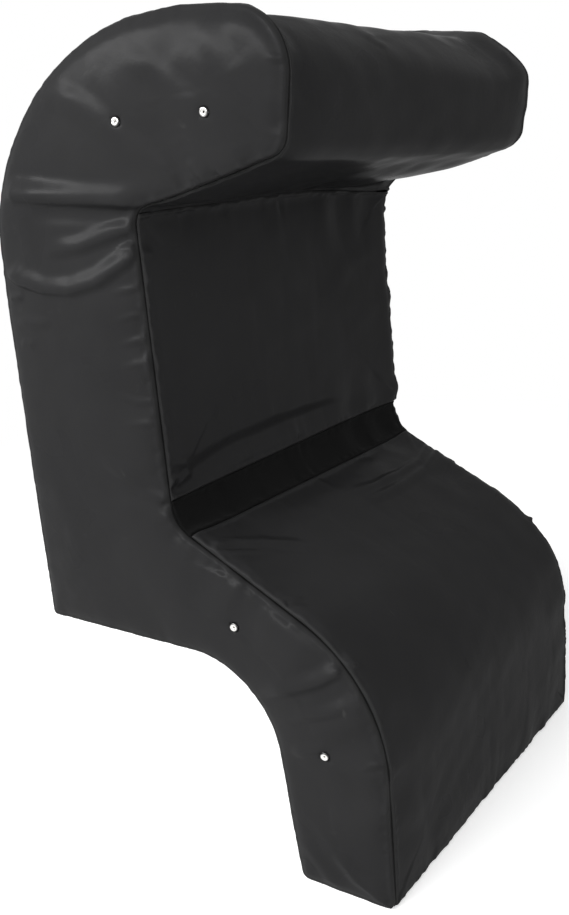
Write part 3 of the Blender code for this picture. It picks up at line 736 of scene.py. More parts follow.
def strip_skin(name, runs, spacing, rows):
    """A strip that runs across the width, laid along its part of the profile."""
    run, out, along = runs[name]
    across = stations(seam_width, spacing, rows)
    bm = bmesh.new()
    bmesh.ops.create_grid(bm, x_segments=len(across) - 1, y_segments=len(along) - 1, size=0.5)
    shares = np.array([vert.co.xy for vert in bm.verts]) + 0.5
    i = np.rint(shares[:, 0] * (len(across) - 1)).astype(int)
    j = np.rint(shares[:, 1] * (len(along) - 1)).astype(int)
    x = across[i] - half_width
    zeros = np.zeros(len(x))
    places = np.stack([x, front + run[j, 0], run[j, 1]], 1)
    facing = np.stack([zeros, out[j, 0], out[j, 1]], 1)
    side_far = half_width - np.abs(x)
    end_far = np.minimum(along[j], along[-1] - along[j])
    hem_far = nowhere_near
    if name in hemmed_ends:
        hem_far = abs(along[-1] * hemmed_ends[name] - along[j])
        end_far = along[-1] - hem_far
    lift = panel_crowns.get(name, 0) * rise(side_far, panel_reach)
    lift *= rise(along[j], panel_reach) * rise(along[-1] - along[j], panel_reach)
    places += facing * lift[:, None]
    seam_run = np.where(side_far < end_far, run_starts[name] + along[j], x)
    share = smooth_step(side_far, 0, seam_turn_reach)[:, None]
    sideways = np.stack([np.sign(x), zeros, zeros], 1)
    common = unit(facing + sideways * (1 - share))
    sheet = np.stack([x, run_starts[name] + along[j]], 1)
    return Skin(name, bm, places, facing, np.minimum(side_far, end_far), seam_run, common, sheet, hem_far)


def side_sheet(border, spacing, seam_lines):
    """A side panel laid flat, as (0, depth, height): rows that follow its seam, and a grid inside them."""
    bm = bmesh.new()
    verts = [bm.verts.new((0, *place)) for place in border]
    rim = [bm.edges.new(pair) for pair in zip(verts, verts[1:] + verts[:1])]
    inner = bmesh.ops.contextual_create(bm, geom=rim)["faces"]
    before = 0
    for row in seam_lines:
        bmesh.ops.inset_region(
            bm, faces=inner, thickness=row - before, use_even_offset=True, use_boundary=True
        )
        before = row
    ring = list(inner[0].edges)
    bmesh.ops.delete(bm, geom=inner, context="FACES_ONLY")
    done = {edge for edge in bm.edges if edge.is_boundary}
    rows = round(body_height / spacing)
    columns = round(body_depth / spacing)
    centre = Matrix.Translation((0, body_depth / 2, body_height / 2))
    stretch = Matrix.Diagonal((body_height, body_depth, 1, 1))
    upright = Matrix.Rotation(math.pi / 2, 4, "Y")
    grid = bmesh.ops.create_grid(
        bm, x_segments=rows, y_segments=columns, size=0.5, matrix=centre @ upright @ stretch
    )["verts"]
    flat = np.array([vert.co.yz for vert in grid])
    _, far = nearest_on_outline(flat)
    keep = inside_outline(flat) & (far > before + spacing * seam_row_gap)
    bmesh.ops.delete(bm, geom=[vert for vert, kept in zip(grid, keep) if not kept], context="VERTS")
    stair = [edge for edge in bm.edges if edge.is_boundary and edge not in done]
    bmesh.ops.triangle_fill(bm, edges=ring + stair, use_beauty=True)
    near_rows = keep & (far < ease_reach * spacing / pitch)
    easing = [grid[number] for number in np.flatnonzero(near_rows)]
    for _ in range(ease_rounds):
        bmesh.ops.smooth_vert(
            bm, verts=easing, factor=0.5, use_axis_x=True, use_axis_y=True, use_axis_z=True
        )
    bmesh.ops.recalc_face_normals(bm, faces=bm.faces)
    return bm


def side_skin(name, side, sheet):
    """A side panel, raised off its flat sheet."""
    bm = sheet.copy()
    if sum(face.normal.x * face.calc_area() for face in bm.faces) * side < 0:
        bmesh.ops.reverse_faces(bm, faces=bm.faces)
    flat = np.array([vert.co.yz for vert in bm.verts])
    index, far = nearest_on_outline(flat)
    sideways = np.zeros((len(flat), 3))
    sideways[:, 0] = side
    out = np.insert(outline_out[index], 0, 0, 1)
    lift = crown.height(flat, far)[:, None]
    places = np.insert(flat, 0, side * half_width, 1) + (0, front, 0) + sideways * lift
    lean = np.clip(1 - far / side_lean_reach, 0, 1)[:, None] * side_lean_share
    facing = unit(sideways + out * lean)
    return Skin(name, bm, places, facing, far, outline_run[index], unit(out + sideways), flat)


skins = {name: strip_skin(name, runs, pitch, seam_rows) for name in runs if name != "zip"}
flat_side = side_sheet(outline, pitch, seam_rows)
skins |= {name: side_skin(name, side, flat_side) for name, side in side_panels.items()}


def pixels(places):
    """Where places in the frame lie in the photograph."""
    apart = places - np.array(camera_place)
    deep = apart @ np.array(camera_aim)
    focal = lens_mm / sensor_mm * frame_height
    across = frame_width / 2 + focal * (apart @ np.array(camera_right)) / deep
    down = frame_height / 2 - focal * (apart @ np.array(camera_up)) / deep
    return np.stack([across, down], 1)


def fold_share(seen, line, above, below, taper):
    """How strongly a fold along a line of pixels acts: 1 on its crest, 0 past its widths."""
    line = np.array(line, float)
    span = max(above, below)
    share = np.zeros(len(seen))
    near = ((seen > line.min(0) - span) & (seen < line.max(0) + span)).all(1)
    some = seen[near]
    steps = np.diff(line, axis=0)
    lengths = np.linalg.norm(steps, axis=1)
    starts = np.concatenate([[0], np.cumsum(lengths)])
    best = np.full(len(some), np.inf)
    gap = np.zeros(len(some))
    at = np.zeros(len(some))
    for start, step, length, begun in zip(line, steps, lengths, starts):
        apart = some - start
        along = np.clip(apart @ step / length ** 2, 0, 1)
        rest = apart - along[:, None] * step
        far = np.linalg.norm(rest, axis=1)
        side = np.sign(step[1] * apart[:, 0] - step[0] * apart[:, 1])
        closer = far < best
        best[closer] = far[closer]
        gap[closer] = (far * side)[closer]
        at[closer] = (begun + along * length)[closer] / starts[-1]
    width = np.where(gap > 0, above, below)
    profile = (1 + np.cos(math.pi * np.clip(np.abs(gap) / width, 0, 1))) / 2
    profile *= smooth_step(at, 0, taper[0]) * smooth_step(1 - at, 0, taper[1])
    share[near] = profile
    return share


def wave(run, length, seed):
    """A smooth uneven wave along a seam, between -1 and 1."""
    draws = np.random.default_rng(seed).uniform(-1, 1, wave_draws)
    at = run / length + wave_start
    low = np.floor(at).astype(int)
    share = smooth_step(at - low, 0, 1)
    return draws[low % wave_draws] * (1 - share) + draws[(low + 1) % wave_draws] * share


def ripple(places, length, seed):
    """A soft uneven swell through space, about -1 to 1."""
    draws = np.random.default_rng(seed)
    total = np.zeros(len(places))
    for _ in range(swell_waves):
        way = draws.normal(size=3)
        way *= math.tau / length * draws.uniform(*swell_wave_spread) / np.linalg.norm(way)
        total += np.sin(places @ way + draws.uniform(0, math.tau))
    return total / math.sqrt(swell_waves)


def add_folds(skin, folds, mirrored=False):
    """Raises a panel's folds: each has a crest line, a height and the widths of both its slopes."""
    turn = (-1 if mirrored else 1, 1, 1)
    places = skin.places * turn
    seen = pixels(places)
    to_camera = unit(np.array(camera_place) - places)
    free = smooth_step((to_camera * skin.facing * turn).sum(1), 0, fold_facing)
    free = free * smooth_step(skin.seam_far, *fold_seam_reach)
    for line, height, above, below, *ends in folds:
        taper = ends[0] if ends else fold_taper
        skin.lift += height / mm_in_metre * fold_share(seen, line, above, below, taper) * free


def add_seams(skin):
    """The drawn-in seam lines, the allowance that shows beside them, and the puckers along them."""
    far, run = skin.seam_far, skin.seam_run
    strip = skin.name not in side_panels
    skin.lift -= seam_depth * peak(far, 0, seam_width_near)
    rib = peak(far, seam_rib_place, seam_rib_width)
    skin.lift += seam_rib_height * (1 if strip else side_rib_share) * rib
    tight = pucker_shares.get(skin.name, 1)
    if not strip:
        lively = falling(run, pucker_lively_run, pucker_quiet_run)
        tight = pucker_quiet_share + (tight - pucker_quiet_share) * lively
    fine = wave(run, pucker_length, seed=5)
    group = wave(run, pucker_length * pucker_group, seed=9)
    group = pucker_least + (1 - pucker_least) * group
    skin.lift += tight * pucker_height * hump(far, pucker_reach) * fine * group
    broad = wave(run, pucker_length * broad_length_share, seed=17)
    broad_hump = hump(far, pucker_reach * broad_reach_share)
    skin.lift += tight * pucker_height * broad_height_share * broad_hump * broad
    ladder = peak(far, ladder_place, ladder_width)
    skin.lift += tight * ladder_height * ladder * wave(run, ladder_step, seed=23)


def settled(places):
    """Places moved by the stuffing's own shape, which an even profile doesn't have."""
    x, y, z = places.T
    depth = y - front
    side_far = x + half_width
    across = np.clip(side_far / seam_width, 0, past_far_side)
    overhang = falling(depth, droop_depth - droop_run, droop_depth)
    overhang *= smooth_step(z, droop_height, droop_height + droop_rise)
    roll_nose = overhang * (1 - smooth_step(z, *roll_push_heights)) * smooth_step(across, *roll_push_shares)
    shoulder = smooth_step(depth, *shoulder_depths) * smooth_step(z, *shoulder_heights)
    corner = np.hypot(depth - recess_top_depth, z - (body_height - recess_top_drop))
    corner = peak(corner, 0, corner_fill_reach) * smooth_step(across, *corner_fill_shares)
    recess = peak(depth, recess_top_depth, recess_push_reach) * smooth_step(across, *recess_push_shares)
    band = recess * peak(z, band_push_height, band_push_reach)
    recess *= smooth_step(z, *recess_push_low) * falling(z, *recess_push_high)
    nose = falling(depth, crease_depth - nose_droop_run, crease_depth)
    nose *= smooth_step(z, *nose_droop_heights) * (z < nose_top)
    top = smooth_step(z, *top_sag_heights) * falling(depth, *top_sag_depths) * rise(side_far, top_sag_reach)
    top *= 1 - smooth_step(across, *top_sag_shares)
    moved = places.copy()
    for share, way in (
        (top, top_sag), (overhang * across, droop_way), (roll_nose, roll_push), (shoulder, shoulder_fill),
        (corner, corner_fill), (recess, recess_push), (band, band_push), (nose * across, nose_droop),
    ):
        moved += share[:, None] * np.array(way)
    return moved


def fill_out(skin):
    """Where one panel alone lies fuller or lower between its seams."""
    x, _, z = skin.places.T
    side_far = x + half_width
    if skin.name in ("lower_front_panel", "recess_panel"):
        full = smooth_step(z, *edge_puff_heights)
        if skin.name == "recess_panel":
            full = np.clip(side_far / seam_width, 0, 1)
        skin.lift += edge_puff * hump(half_width - np.abs(x), edge_puff_reach) * full
    if skin.name == "recess_panel":
        beyond = smooth_step(side_far, allowance_width, allowance_width + allowance_step)
        skin.lift += allowance_height * (1 - beyond)


def press_swell(skin):
    """Slow unevenness of foam and cloth."""
    free = smooth_step(skin.seam_far, *swell_seam_reach)
    skin.lift += swell_height * ripple(skin.places, swell_length, seed=3) * free
    skin.lift += fine_swell_height * ripple(skin.places, fine_swell_length, seed=4) * free


def new_object(name, data):
    """An object that is in the scene."""
    made = bpy.data.objects.new(name, data)
    bpy.context.scene.collection.objects.link(made)
    return made


def evaluated_mesh(piece):
    """A piece's mesh as its modifiers leave it."""
    return bpy.data.meshes.new_from_object(piece.evaluated_get(bpy.context.evaluated_depsgraph_get()))


def mesh_rows(rows, field, kind, width):
    """A field of a mesh's vertices or edges, as rows of numbers."""
    values = np.empty(len(rows) * width, kind)
    rows.foreach_get(field, values)
    return values.reshape(-1, width)


def mesh_places(mesh):
    """A mesh's vertex places as rows."""
    return mesh_rows(mesh.vertices, "co", np.float32, 3).astype(float)


def set_places(mesh, places):
    """Puts a mesh's vertices at places."""
    mesh.vertices.foreach_set("co", places.astype(np.float32).ravel())


def cloth_body():
    """The whole cover as one coarse closed mesh."""
    coarse = profile_runs(cloth_pitch, ())
    parts = [strip_skin(name, coarse, cloth_pitch, ()) for name in coarse]
    sheet = side_sheet(joined_places(coarse), cloth_pitch, ())
    parts += [side_skin(name, side, sheet) for name, side in side_panels.items()]
    bm = bmesh.new()
    for part in parts:
        mesh = bpy.data.meshes.new("part")
        part.bm.to_mesh(mesh)
        set_places(mesh, part.places)
        bm.from_mesh(mesh)
        bpy.data.meshes.remove(mesh)
        part.bm.free()
    bmesh.ops.remove_doubles(bm, verts=bm.verts, dist=weld_distance)
    bmesh.ops.recalc_face_normals(bm, faces=bm.faces)
    mesh = bpy.data.meshes.new("cloth_body")
    bm.to_mesh(mesh)
    bm.free()
    return new_object("cloth_body", mesh)


def smoothed(values, edges, rounds):
    """Values on vertices, each brought to the mean of its neighbours a number of times."""
    links = np.concatenate([edges, edges[:, ::-1]])
    count = np.bincount(links[:, 0], minlength=len(values))
    for _ in range(rounds):
        total = np.bincount(links[:, 0], weights=values[links[:, 1]], minlength=len(values))
        values = (values + total / np.maximum(count, 1)) / 2
    return values


def blow_up(body):
    """Blows the coarse cover up over its seams, and gives how far each point moved in or out."""
    rest = mesh_places(body.data)
    normals = mesh_rows(body.data.vertices, "normal", np.float32, 3)
    flat = rest[:, 1:] - (front, 0)
    _, far = nearest_on_outline(flat)
    at_rim = (far < weld_distance) & (np.abs(np.abs(rest[:, 0]) - half_width) < weld_distance)
    cross_seams = np.array([runs[name][0][0] for name in runs])
    gaps = np.sqrt(((flat[:, None] - cross_seams[None]) ** 2).sum(2)).min(1)
    pins = np.flatnonzero(at_rim | (gaps < weld_distance))
    body.vertex_groups.new(name="seams").add(pins.tolist(), 1, "REPLACE")
    cloth = body.modifiers.new("cloth", "CLOTH")
    cloth.collision_settings.use_collision = False
    cloth.collision_settings.use_self_collision = False
    cloth.point_cache.frame_end = cloth_frames
    settings = cloth.settings
    settings.quality = cloth_quality
    settings.vertex_group_mass = "seams"
    settings.tension_stiffness = cloth_stiffness
    settings.compression_stiffness = cloth_stiffness
    settings.shear_stiffness = cloth_stiffness / 2
    settings.bending_stiffness = cloth_bending
    settings.use_pressure = True
    settings.uniform_pressure_force = cloth_pressure
    settings.shrink_min = -cloth_slack
    settings.shrink_max = -cloth_slack
    settings.effector_weights.gravity = 0
    for number in range(1, cloth_frames + 1):
        bpy.context.scene.frame_set(number)
    blown = evaluated_mesh(body)
    moved = ((mesh_places(blown) - rest) * normals).sum(1)
    bpy.data.meshes.remove(blown)
    body.modifiers.clear()
    bpy.context.scene.frame_set(1)
    return moved


def wrinkle_skins():
    """Gives the skins the wrinkles that the blown cloth has, without its broad swelling."""
    body = cloth_body()
    moved = blow_up(body)
    mesh = body.data
    edges = mesh_rows(mesh.edges, "vertices", np.int32, 2)
    swelling = smoothed(moved, edges, cloth_swell_rounds)
    wrinkles = cloth_cap * np.tanh((moved - swelling) / cloth_cap)
    mesh.update()
    corners = [list(face.vertices) for face in mesh.polygons]
    places = [vert.co.copy() for vert in mesh.vertices]
    tree = BVHTree.FromPolygons(places, corners)
    for skin in skins.values():
        found = np.zeros(len(skin.places))
        for number, place in enumerate(skin.places):
            near, _, face, _ = tree.find_nearest(place)
            shape = corners[face]
            weights = poly_3d_calc([places[corner] for corner in shape], near)
            found[number] = sum(weight * wrinkles[corner] for weight, corner in zip(weights, shape))
        skin.bm.edges.ensure_lookup_table()
        skin.bm.verts.index_update()
        pairs = np.array([(edge.verts[0].index, edge.verts[1].index) for edge in skin.bm.edges])
        free = smooth_step(skin.seam_far, *wrinkle_seam_reach)
        skin.lift += cloth_shares[skin.name] * smoothed(found, pairs, cloth_ease_rounds) * free
    bpy.data.objects.remove(body)


def calm(skin):
    """Lets the back lie flat along the zip and under the handles' patches."""
    free = smooth_step(skin.hem_far, hem_width, hem_width + calm_reach)
    if skin.name == "rear_panel_upper":
        x, _, z = skin.places.T
        for handle in handles:
            for end in back_ends:
                low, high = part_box(f"{handle}_{end}_patch")
                sides = np.maximum(low.x - x, x - high.x)
                apart = np.maximum(sides, np.maximum(low.z - z, z - high.z))
                free = free * smooth_step(apart, 0, calm_margin)
    skin.lift *= free


def add_hem(skin):
    """The folded and stitched edge that carries the zip."""
    fold = 1 - smooth_step(skin.hem_far, hem_width, hem_width + hem_fold)
    skin.lift += hem_height * fold
    skin.lift -= hem_stitch_dip * peak(skin.hem_far, hem_stitch_far, hem_stitch_width)


def seat_eyelet(skin, name):
    """Presses the vinyl flat under an eyelet and opens its hole. Gives the eyelet's place and facing."""
    low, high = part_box(name)
    centre = (np.array(low) + np.array(high)) / 2
    across = skin.places[:, 1:] - centre[1:]
    far = np.linalg.norm(across, axis=1)
    ring = (far > eyelet_barrel) & (far < seat_fit_reach)
    terms = np.insert(across[ring], 0, 1, 1)
    flat = np.linalg.lstsq(terms, skin.places[ring, 0], rcond=None)[0]
    side = side_panels[skin.name]
    plane = np.insert(across, 0, 1, 1) @ flat - side * seat_dimple
    share = 1 - smooth_step(far, seat_radius, seat_reach)
    skin.places[:, 0] += (plane - skin.places[:, 0]) * share
    skin.bm.verts.ensure_lookup_table()
    kept = far >= vinyl_hole_cut
    gone = [skin.bm.verts[number] for number in np.flatnonzero(~kept)]
    bmesh.ops.delete(skin.bm, geom=gone, context="VERTS")
    for field in ("places", "seam_far", "seam_run", "sheet"):
        setattr(skin, field, getattr(skin, field)[kept])
    skin.bm.verts.index_update()
    far, across = far[kept], across[kept]
    rim = [vert.index for vert in skin.bm.verts if vert.is_boundary and far[vert.index] < vinyl_hole_reach]
    skin.places[rim, 1:] = centre[1:] + across[rim] * (vinyl_hole / far[rim])[:, None]
    normal = Vector((side, -flat[1] * side, -flat[2] * side)).normalized()
    return Vector((flat[0] - side * seat_dimple, *centre[1:])), normal


for skin in skins.values():
    skin.lift = np.zeros(len(skin.places))
wrinkle_skins()
for skin in skins.values():
    press_swell(skin)
    add_seams(skin)
    calm(skin)
    add_hem(skin)
    fill_out(skin)
    skin.places = settled(skin.places)
for name, folds in photo_folds.items():
    add_folds(skins[name], folds)
add_folds(skins["left_side_panel"], photo_folds["right_side_panel"], mirrored=True)
for skin in skins.values():
    skin.places += skin.lift_way * skin.lift[:, None]
    skin.places[:, 2] = np.maximum(skin.places[:, 2], 0)
eyelets = {}
for side in ("right", "left"):
    for number in range(1, 5):
        name = f"{side}_eyelet_{number}"
        eyelets[name] = seat_eyelet(skins[f"{side}_side_panel"], name)


def add_wall(piece, name, thickness, offset):
    """Gives a sheet its thickness."""
    wall = piece.modifiers.new(name, "SOLIDIFY")
    wall.thickness = thickness
    wall.offset = offset


def finish_skin(skin, material):
    """The panel as an object, with its wall."""
    mesh = bpy.data.meshes.new(skin.name)
    skin.bm.to_mesh(mesh)
    skin.bm.free()
    set_places(mesh, skin.places)
    mesh.update()
    mesh.shade_smooth()
    far = mesh.attributes.new("seam_far", "FLOAT", "POINT")
    far.data.foreach_set("value", skin.seam_far.astype(np.float32))
    sheet = mesh.attributes.new("sheet", "FLOAT_VECTOR", "POINT")
    sheet.data.foreach_set("vector", skin.sheet.astype(np.float32).ravel())
    mesh.materials.append(material)
    piece = new_object(f"cover_{skin.name}", mesh)
    add_wall(piece, "wall", cover_wall, -1)
    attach(piece, "cover")
    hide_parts(skin.name)


def merged_copy(name):
    """A CAD node's shape with its loose triangles joined."""
    bm = bmesh.new()
    bm.from_mesh(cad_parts[name].data)
    bmesh.ops.remove_doubles(bm, verts=bm.verts, dist=weld_distance)
    return bm


def add_foam(name, material):
    """A block of foam, a little smaller than its place, so that no fold of the cover meets it."""
    bm = merged_copy(name)
    block = bpy.data.meshes.new(name)
    bm.to_mesh(block)
    bm.free()
    piece = new_object(f"foam_{name}", block)
    remesh = piece.modifiers.new("cells", "REMESH")
    remesh.mode = "VOXEL"
    remesh.voxel_size = foam_voxel
    shrink = piece.modifiers.new("slack", "DISPLACE")
    shrink.mid_level = 0
    shrink.strength = -foam_slack
    ease = piece.modifiers.new("ease", "SMOOTH")
    ease.iterations = foam_ease_rounds
    bpy.context.view_layer.update()
    mesh = evaluated_mesh(piece)
    piece.modifiers.clear()
    piece.data = mesh
    set_places(mesh, settled(mesh_places(mesh)))
    mesh.update()
    mesh.materials.clear()
    mesh.materials.append(material)
    mesh.shade_smooth()
    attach(piece, "cover")
    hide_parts(name)


def add_piece(name, bm, material, body, replaced):
    """A finished mesh as a piece that rides on a body and stands for CAD nodes."""
    mesh = bpy.data.meshes.new(name)
    bm.to_mesh(mesh)
    bm.free()
    mesh.materials.append(material)
    mesh.shade_smooth()
    piece = new_object(name, mesh)
    if replaced:
        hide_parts(*replaced)
    if body:
        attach(piece, body)
    return piece


def sheet_layers(bm):
    """What a finish reads on a piece: places along its threads, and how far a seam is."""
    return bm.verts.layers.float_vector.new("sheet"), bm.verts.layers.float.new("seam_far")


def lay_out(bm):
    """Gives an upright flat piece without seams what its finish reads."""
    sheet, far = sheet_layers(bm)
    for vert in bm.verts:
        vert[sheet] = vert.co.xzy
        vert[far] = nowhere_near


def turned(profile, place, normal):
    """A ring: a closed section of (radius, height) turned about the normal at a place."""
    bm = bmesh.new()
    ring_far = bm.verts.layers.float.new("ring_far")
    verts = [bm.verts.new((radius, 0, height)) for radius, height in profile]
    edges = [bm.edges.new(pair) for pair in zip(verts, verts[1:] + verts[:1])]
    bmesh.ops.spin(
        bm, geom=verts + edges, cent=(0, 0, 0), axis=(0, 0, 1), angle=math.tau, steps=eyelet_steps,
        use_merge=True, use_duplicate=False,
    )
    bmesh.ops.recalc_face_normals(bm, faces=bm.faces)
    for vert in bm.verts:
        vert[ring_far] = vert.co.xy.length
    turn = up_way.rotation_difference(normal).to_matrix().to_4x4()
    bmesh.ops.transform(bm, matrix=Matrix.Translation(place) @ turn, verts=bm.verts)
    return bm


def eyelet_section():
    """The eyelet from its barrel's mouth over the dome to the flange, and back down to its spread foot."""
    section = [(eyelet_bore, -eyelet_depth)]
    for step in range(eyelet_dome_steps + 1):
        share = step / eyelet_dome_steps
        radius = eyelet_bore + (eyelet_flange - eyelet_bore) * share
        dome = math.sin(math.pi * share) ** eyelet_dome_power
        section.append((radius, eyelet_lip * (1 - share) + (eyelet_dome - eyelet_lip / 2) * dome))
    section += [
        (eyelet_flange - eyelet_edge, -eyelet_under),
        (eyelet_barrel, -eyelet_under),
        (eyelet_barrel, -eyelet_depth + eyelet_foot_neck),
        (eyelet_foot, -eyelet_depth + eyelet_foot_top),
        (eyelet_foot + eyelet_foot_round, -eyelet_depth + eyelet_foot_round),
        (eyelet_foot, -eyelet_depth),
    ]
    return section


def washer_section():
    """The washer behind the vinyl, with broken corners."""
    top = -cover_wall - washer_gap
    low = top - washer_thickness
    inner = eyelet_barrel + washer_gap
    outer = eyelet_flange
    return [
        (inner, low + washer_bevel), (inner, top - washer_bevel), (inner + washer_bevel, top),
        (outer - washer_bevel, top), (outer, top - washer_bevel), (outer, low + washer_bevel),
        (outer - washer_bevel, low), (inner + washer_bevel, low),
    ]


def add_eyelets(material):
    """The vent eyelets and their washers, seated on the finished vinyl."""
    for eyelet, seat in eyelets.items():
        washer = eyelet.replace("eyelet", "eyelet_washer")
        for name, section in ((eyelet, eyelet_section()), (washer, washer_section())):
            add_piece(f"ring_{name}", turned(section, *seat), material, "cover", [name])


def break_edges(bm, edges, width):
    """Rounds edges over a width."""
    bmesh.ops.bevel(
        bm, geom=edges, offset=width, offset_type="OFFSET", segments=2, profile=0.5, affect="EDGES",
        material=-1, clamp_overlap=True,
    )


def add_rounded_copy(name, material, body, bevel):
    """A CAD node's shape with its edges broken."""
    bm = merged_copy(name)
    bmesh.ops.dissolve_limit(bm, angle_limit=flat_angle, verts=bm.verts, edges=bm.edges)
    sharp = [edge for edge in bm.edges if edge.is_manifold and edge.calc_face_angle() > sharp_angle]
    break_edges(bm, sharp, bevel)
    bmesh.ops.triangulate(bm, faces=[face for face in bm.faces if len(face.verts) > 4])
    add_piece(f"rounded_{name}", bm, material, body, [name])


def add_stitches(name, lines, normal, material, body):
    """Rows of stitches along lines that lie in a plane."""
    bm = bmesh.new()
    for start, end in lines:
        start, end = Vector(start), Vector(end)
        along = end - start
        count = max(1, round(along.length / (stitch_length + stitch_gap)))
        side = along.normalized().cross(normal)
        turn = Matrix((along.normalized(), side, normal)).transposed().to_4x4()
        size = Matrix.Diagonal((stitch_length / 2, stitch_radius, stitch_radius, 1))
        for number in range(count):
            centre = start + along * ((number + 0.5) / count)
            bmesh.ops.create_icosphere(
                bm, subdivisions=1, radius=1, matrix=Matrix.Translation(centre) @ turn @ size
            )
    add_piece(name, bm, material, body, [])


def frame_lines(low_x, high_x, low_z, high_z, y):
    """The four sides of an upright rectangle."""
    corners = [(low_x, y, low_z), (high_x, y, low_z), (high_x, y, high_z), (low_x, y, high_z)]
    return list(zip(corners, corners[1:] + corners[:1]))


def add_tape(end, way, tape):
    """A zip tape: it dips under the hem, and a cord runs along its toothed edge."""
    node = f"zip_tape_{end}"
    low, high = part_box(node)
    inner, outer = (low.z, high.z) if way > 0 else (high.z, low.z)
    width = abs(outer - inner)
    bm = bmesh.new()
    bmesh.ops.create_grid(bm, x_segments=tape_columns, y_segments=tape_rows, size=0.5)
    for vert in bm.verts:
        z = inner + (outer + way * tape_under_hem - inner) * (vert.co.y + 0.5)
        far = abs(z - inner)
        covered = float(smooth_step(far, width * tape_dip_start, width))
        cord = tape_cord_height * float(peak(far, tape_cord_width, tape_cord_width))
        vert.co = (vert.co.x * (high.x - low.x), (low.y + high.y) / 2 - tape_dip * covered + cord, z)
    bmesh.ops.recalc_face_normals(bm, faces=bm.faces)
    lay_out(bm)
    piece = add_piece(f"woven_{node}", bm, tape, "cover", [node])
    add_wall(piece, "thickness", tape_thickness, 0)


def add_end_tab(name, low_x, high_x, tape):
    """A short tab of tape that closes the zip at one end."""
    size = Matrix.Diagonal((high_x - low_x, end_tab_thickness, end_tab_height, 1))
    centre = Vector(((low_x + high_x) / 2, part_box("zip_tape_upper")[1].y, (zip_low + zip_high) / 2))
    bm = bmesh.new()
    bmesh.ops.create_cube(bm, size=1, matrix=Matrix.Translation(centre) @ size)
    break_edges(bm, bm.edges[:], end_tab_bevel)
    lay_out(bm)
    add_piece(name, bm, tape, "cover", [])


def add_zip(tape, plastic, metal, thread):
    """The zip: tapes under the hems, teeth, stops, slider and pull, and the hems' stitching."""
    reach = half_width - hem_stitch_inset
    sunk = back + hem_height - hem_stitch_dip
    for end, way in back_ends.items():
        add_tape(end, way, tape)
        add_rounded_copy(f"zip_teeth_{end}", plastic, "cover", tooth_bevel)
        z = (zip_high if way > 0 else zip_low) + way * hem_stitch_far
        line = ((-reach, sunk, z), (reach, sunk, z))
        add_stitches(f"hem_stitches_{end}", [line], back_way, thread, "cover")
    for name in ("zip_start_stop", "zip_end_stop", "zip_slider", "zip_pull"):
        body = "cover" if name.endswith("stop") else name
        add_rounded_copy(name, metal, body, metal_bevel)
    reach = half_width - end_tab_inset
    add_end_tab("zip_start_tab", -reach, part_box("zip_start_stop")[0].x - end_tab_gap, tape)
    add_end_tab("zip_end_tab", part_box("zip_end_stop")[1].x + end_tab_gap, reach, tape)


def webbing_path(share):
    """A handle's centre line from its middle, share 0, to its sewn end, share 1: (rise, standing off)."""
    length = grip_length / 2 + handle_ramp + tab_length
    at = share * length
    ramp = min(max((at - grip_length / 2) / handle_ramp, 0), 1)
    return at, handle_standoff * (1 + math.cos(math.pi * ramp)) / 2


def bent(value, power):
    """A sine or cosine raised to a power, which squares a round section, with its sign kept."""
    return math.copysign(abs(value) ** power, value)


def sleeve(rows, steps, place_of, size_of, power):
    """A closed sleeve round a line in the upright plane: rows along it, steps round it."""
    bm = bmesh.new()
    bmesh.ops.create_grid(bm, x_segments=steps, y_segments=rows, size=0.5)
    sheet, far = sheet_layers(bm)
    for vert in bm.verts:
        angle = (vert.co.x + 0.5) * math.tau
        share = vert.co.y + 0.5
        height, off, slope = place_of(share)
        wide, thick = size_of(share, angle)
        side = bent(math.cos(angle), power) * wide
        out = bent(math.sin(angle), power) * thick
        vert[sheet] = (side, height, out)
        vert[far] = nowhere_near
        vert.co = (side, off + out * math.cos(slope), height - out * math.sin(slope))
    bmesh.ops.remove_doubles(bm, verts=bm.verts, dist=sleeve_weld)
    bmesh.ops.holes_fill(bm, edges=[edge for edge in bm.edges if edge.is_boundary], sides=0)
    bmesh.ops.recalc_face_normals(bm, faces=bm.faces)
    return bm


def webbing_half(way):
    """One half of a handle's webbing, upward or downward from the middle of the grip."""
    def place_of(share):
        height, off = webbing_path(share)
        next_height, next_off = webbing_path(share + path_step)
        slope = math.atan2(next_off - off, next_height - height)
        return height * way, off, slope * way

    def size_of(share, angle):
        ribs = 1 + webbing_rib_height * math.cos(angle * webbing_ribs)
        return webbing_width / 2, webbing_thickness / 2 * ribs
    return sleeve(webbing_rows, webbing_steps, place_of, size_of, webbing_power)


def grip_sleeve():
    """The padded grip: an oval sleeve with turned-in ends, cross creases and a seam on its inner side."""
    def place_of(share):
        return (share - 0.5) * grip_length, handle_standoff, 0

    def size_of(share, angle):
        side, out = math.cos(angle), math.sin(angle)
        end_far = grip_length / 2 - abs(share - 0.5) * grip_length
        turn = math.sqrt(max(1 - (1 - min(end_far / grip_turn, 1)) ** 2, 0))
        bulge = 1 - grip_bulge * (2 * share - 1) ** 2
        spot = Vector((share * grip_creases_along, side * grip_creases_round, out * grip_creases_round))
        crease = grip_crease_height * noise.noise(spot)
        seam = grip_seam_depth * math.exp(-((side ** 2 + (out + 1) ** 2) / grip_seam_spread))
        end_width = grip_end_width + (1 - grip_end_width) * turn
        end_depth = grip_end_depth + (1 - grip_end_depth) * turn
        wide = (grip_width / 2 - grip_side_inset) * end_width * bulge + crease
        return wide, (grip_depth / 2 - grip_face_inset) * end_depth * bulge + crease - seam
    return sleeve(grip_rows, grip_steps, place_of, size_of, grip_power)


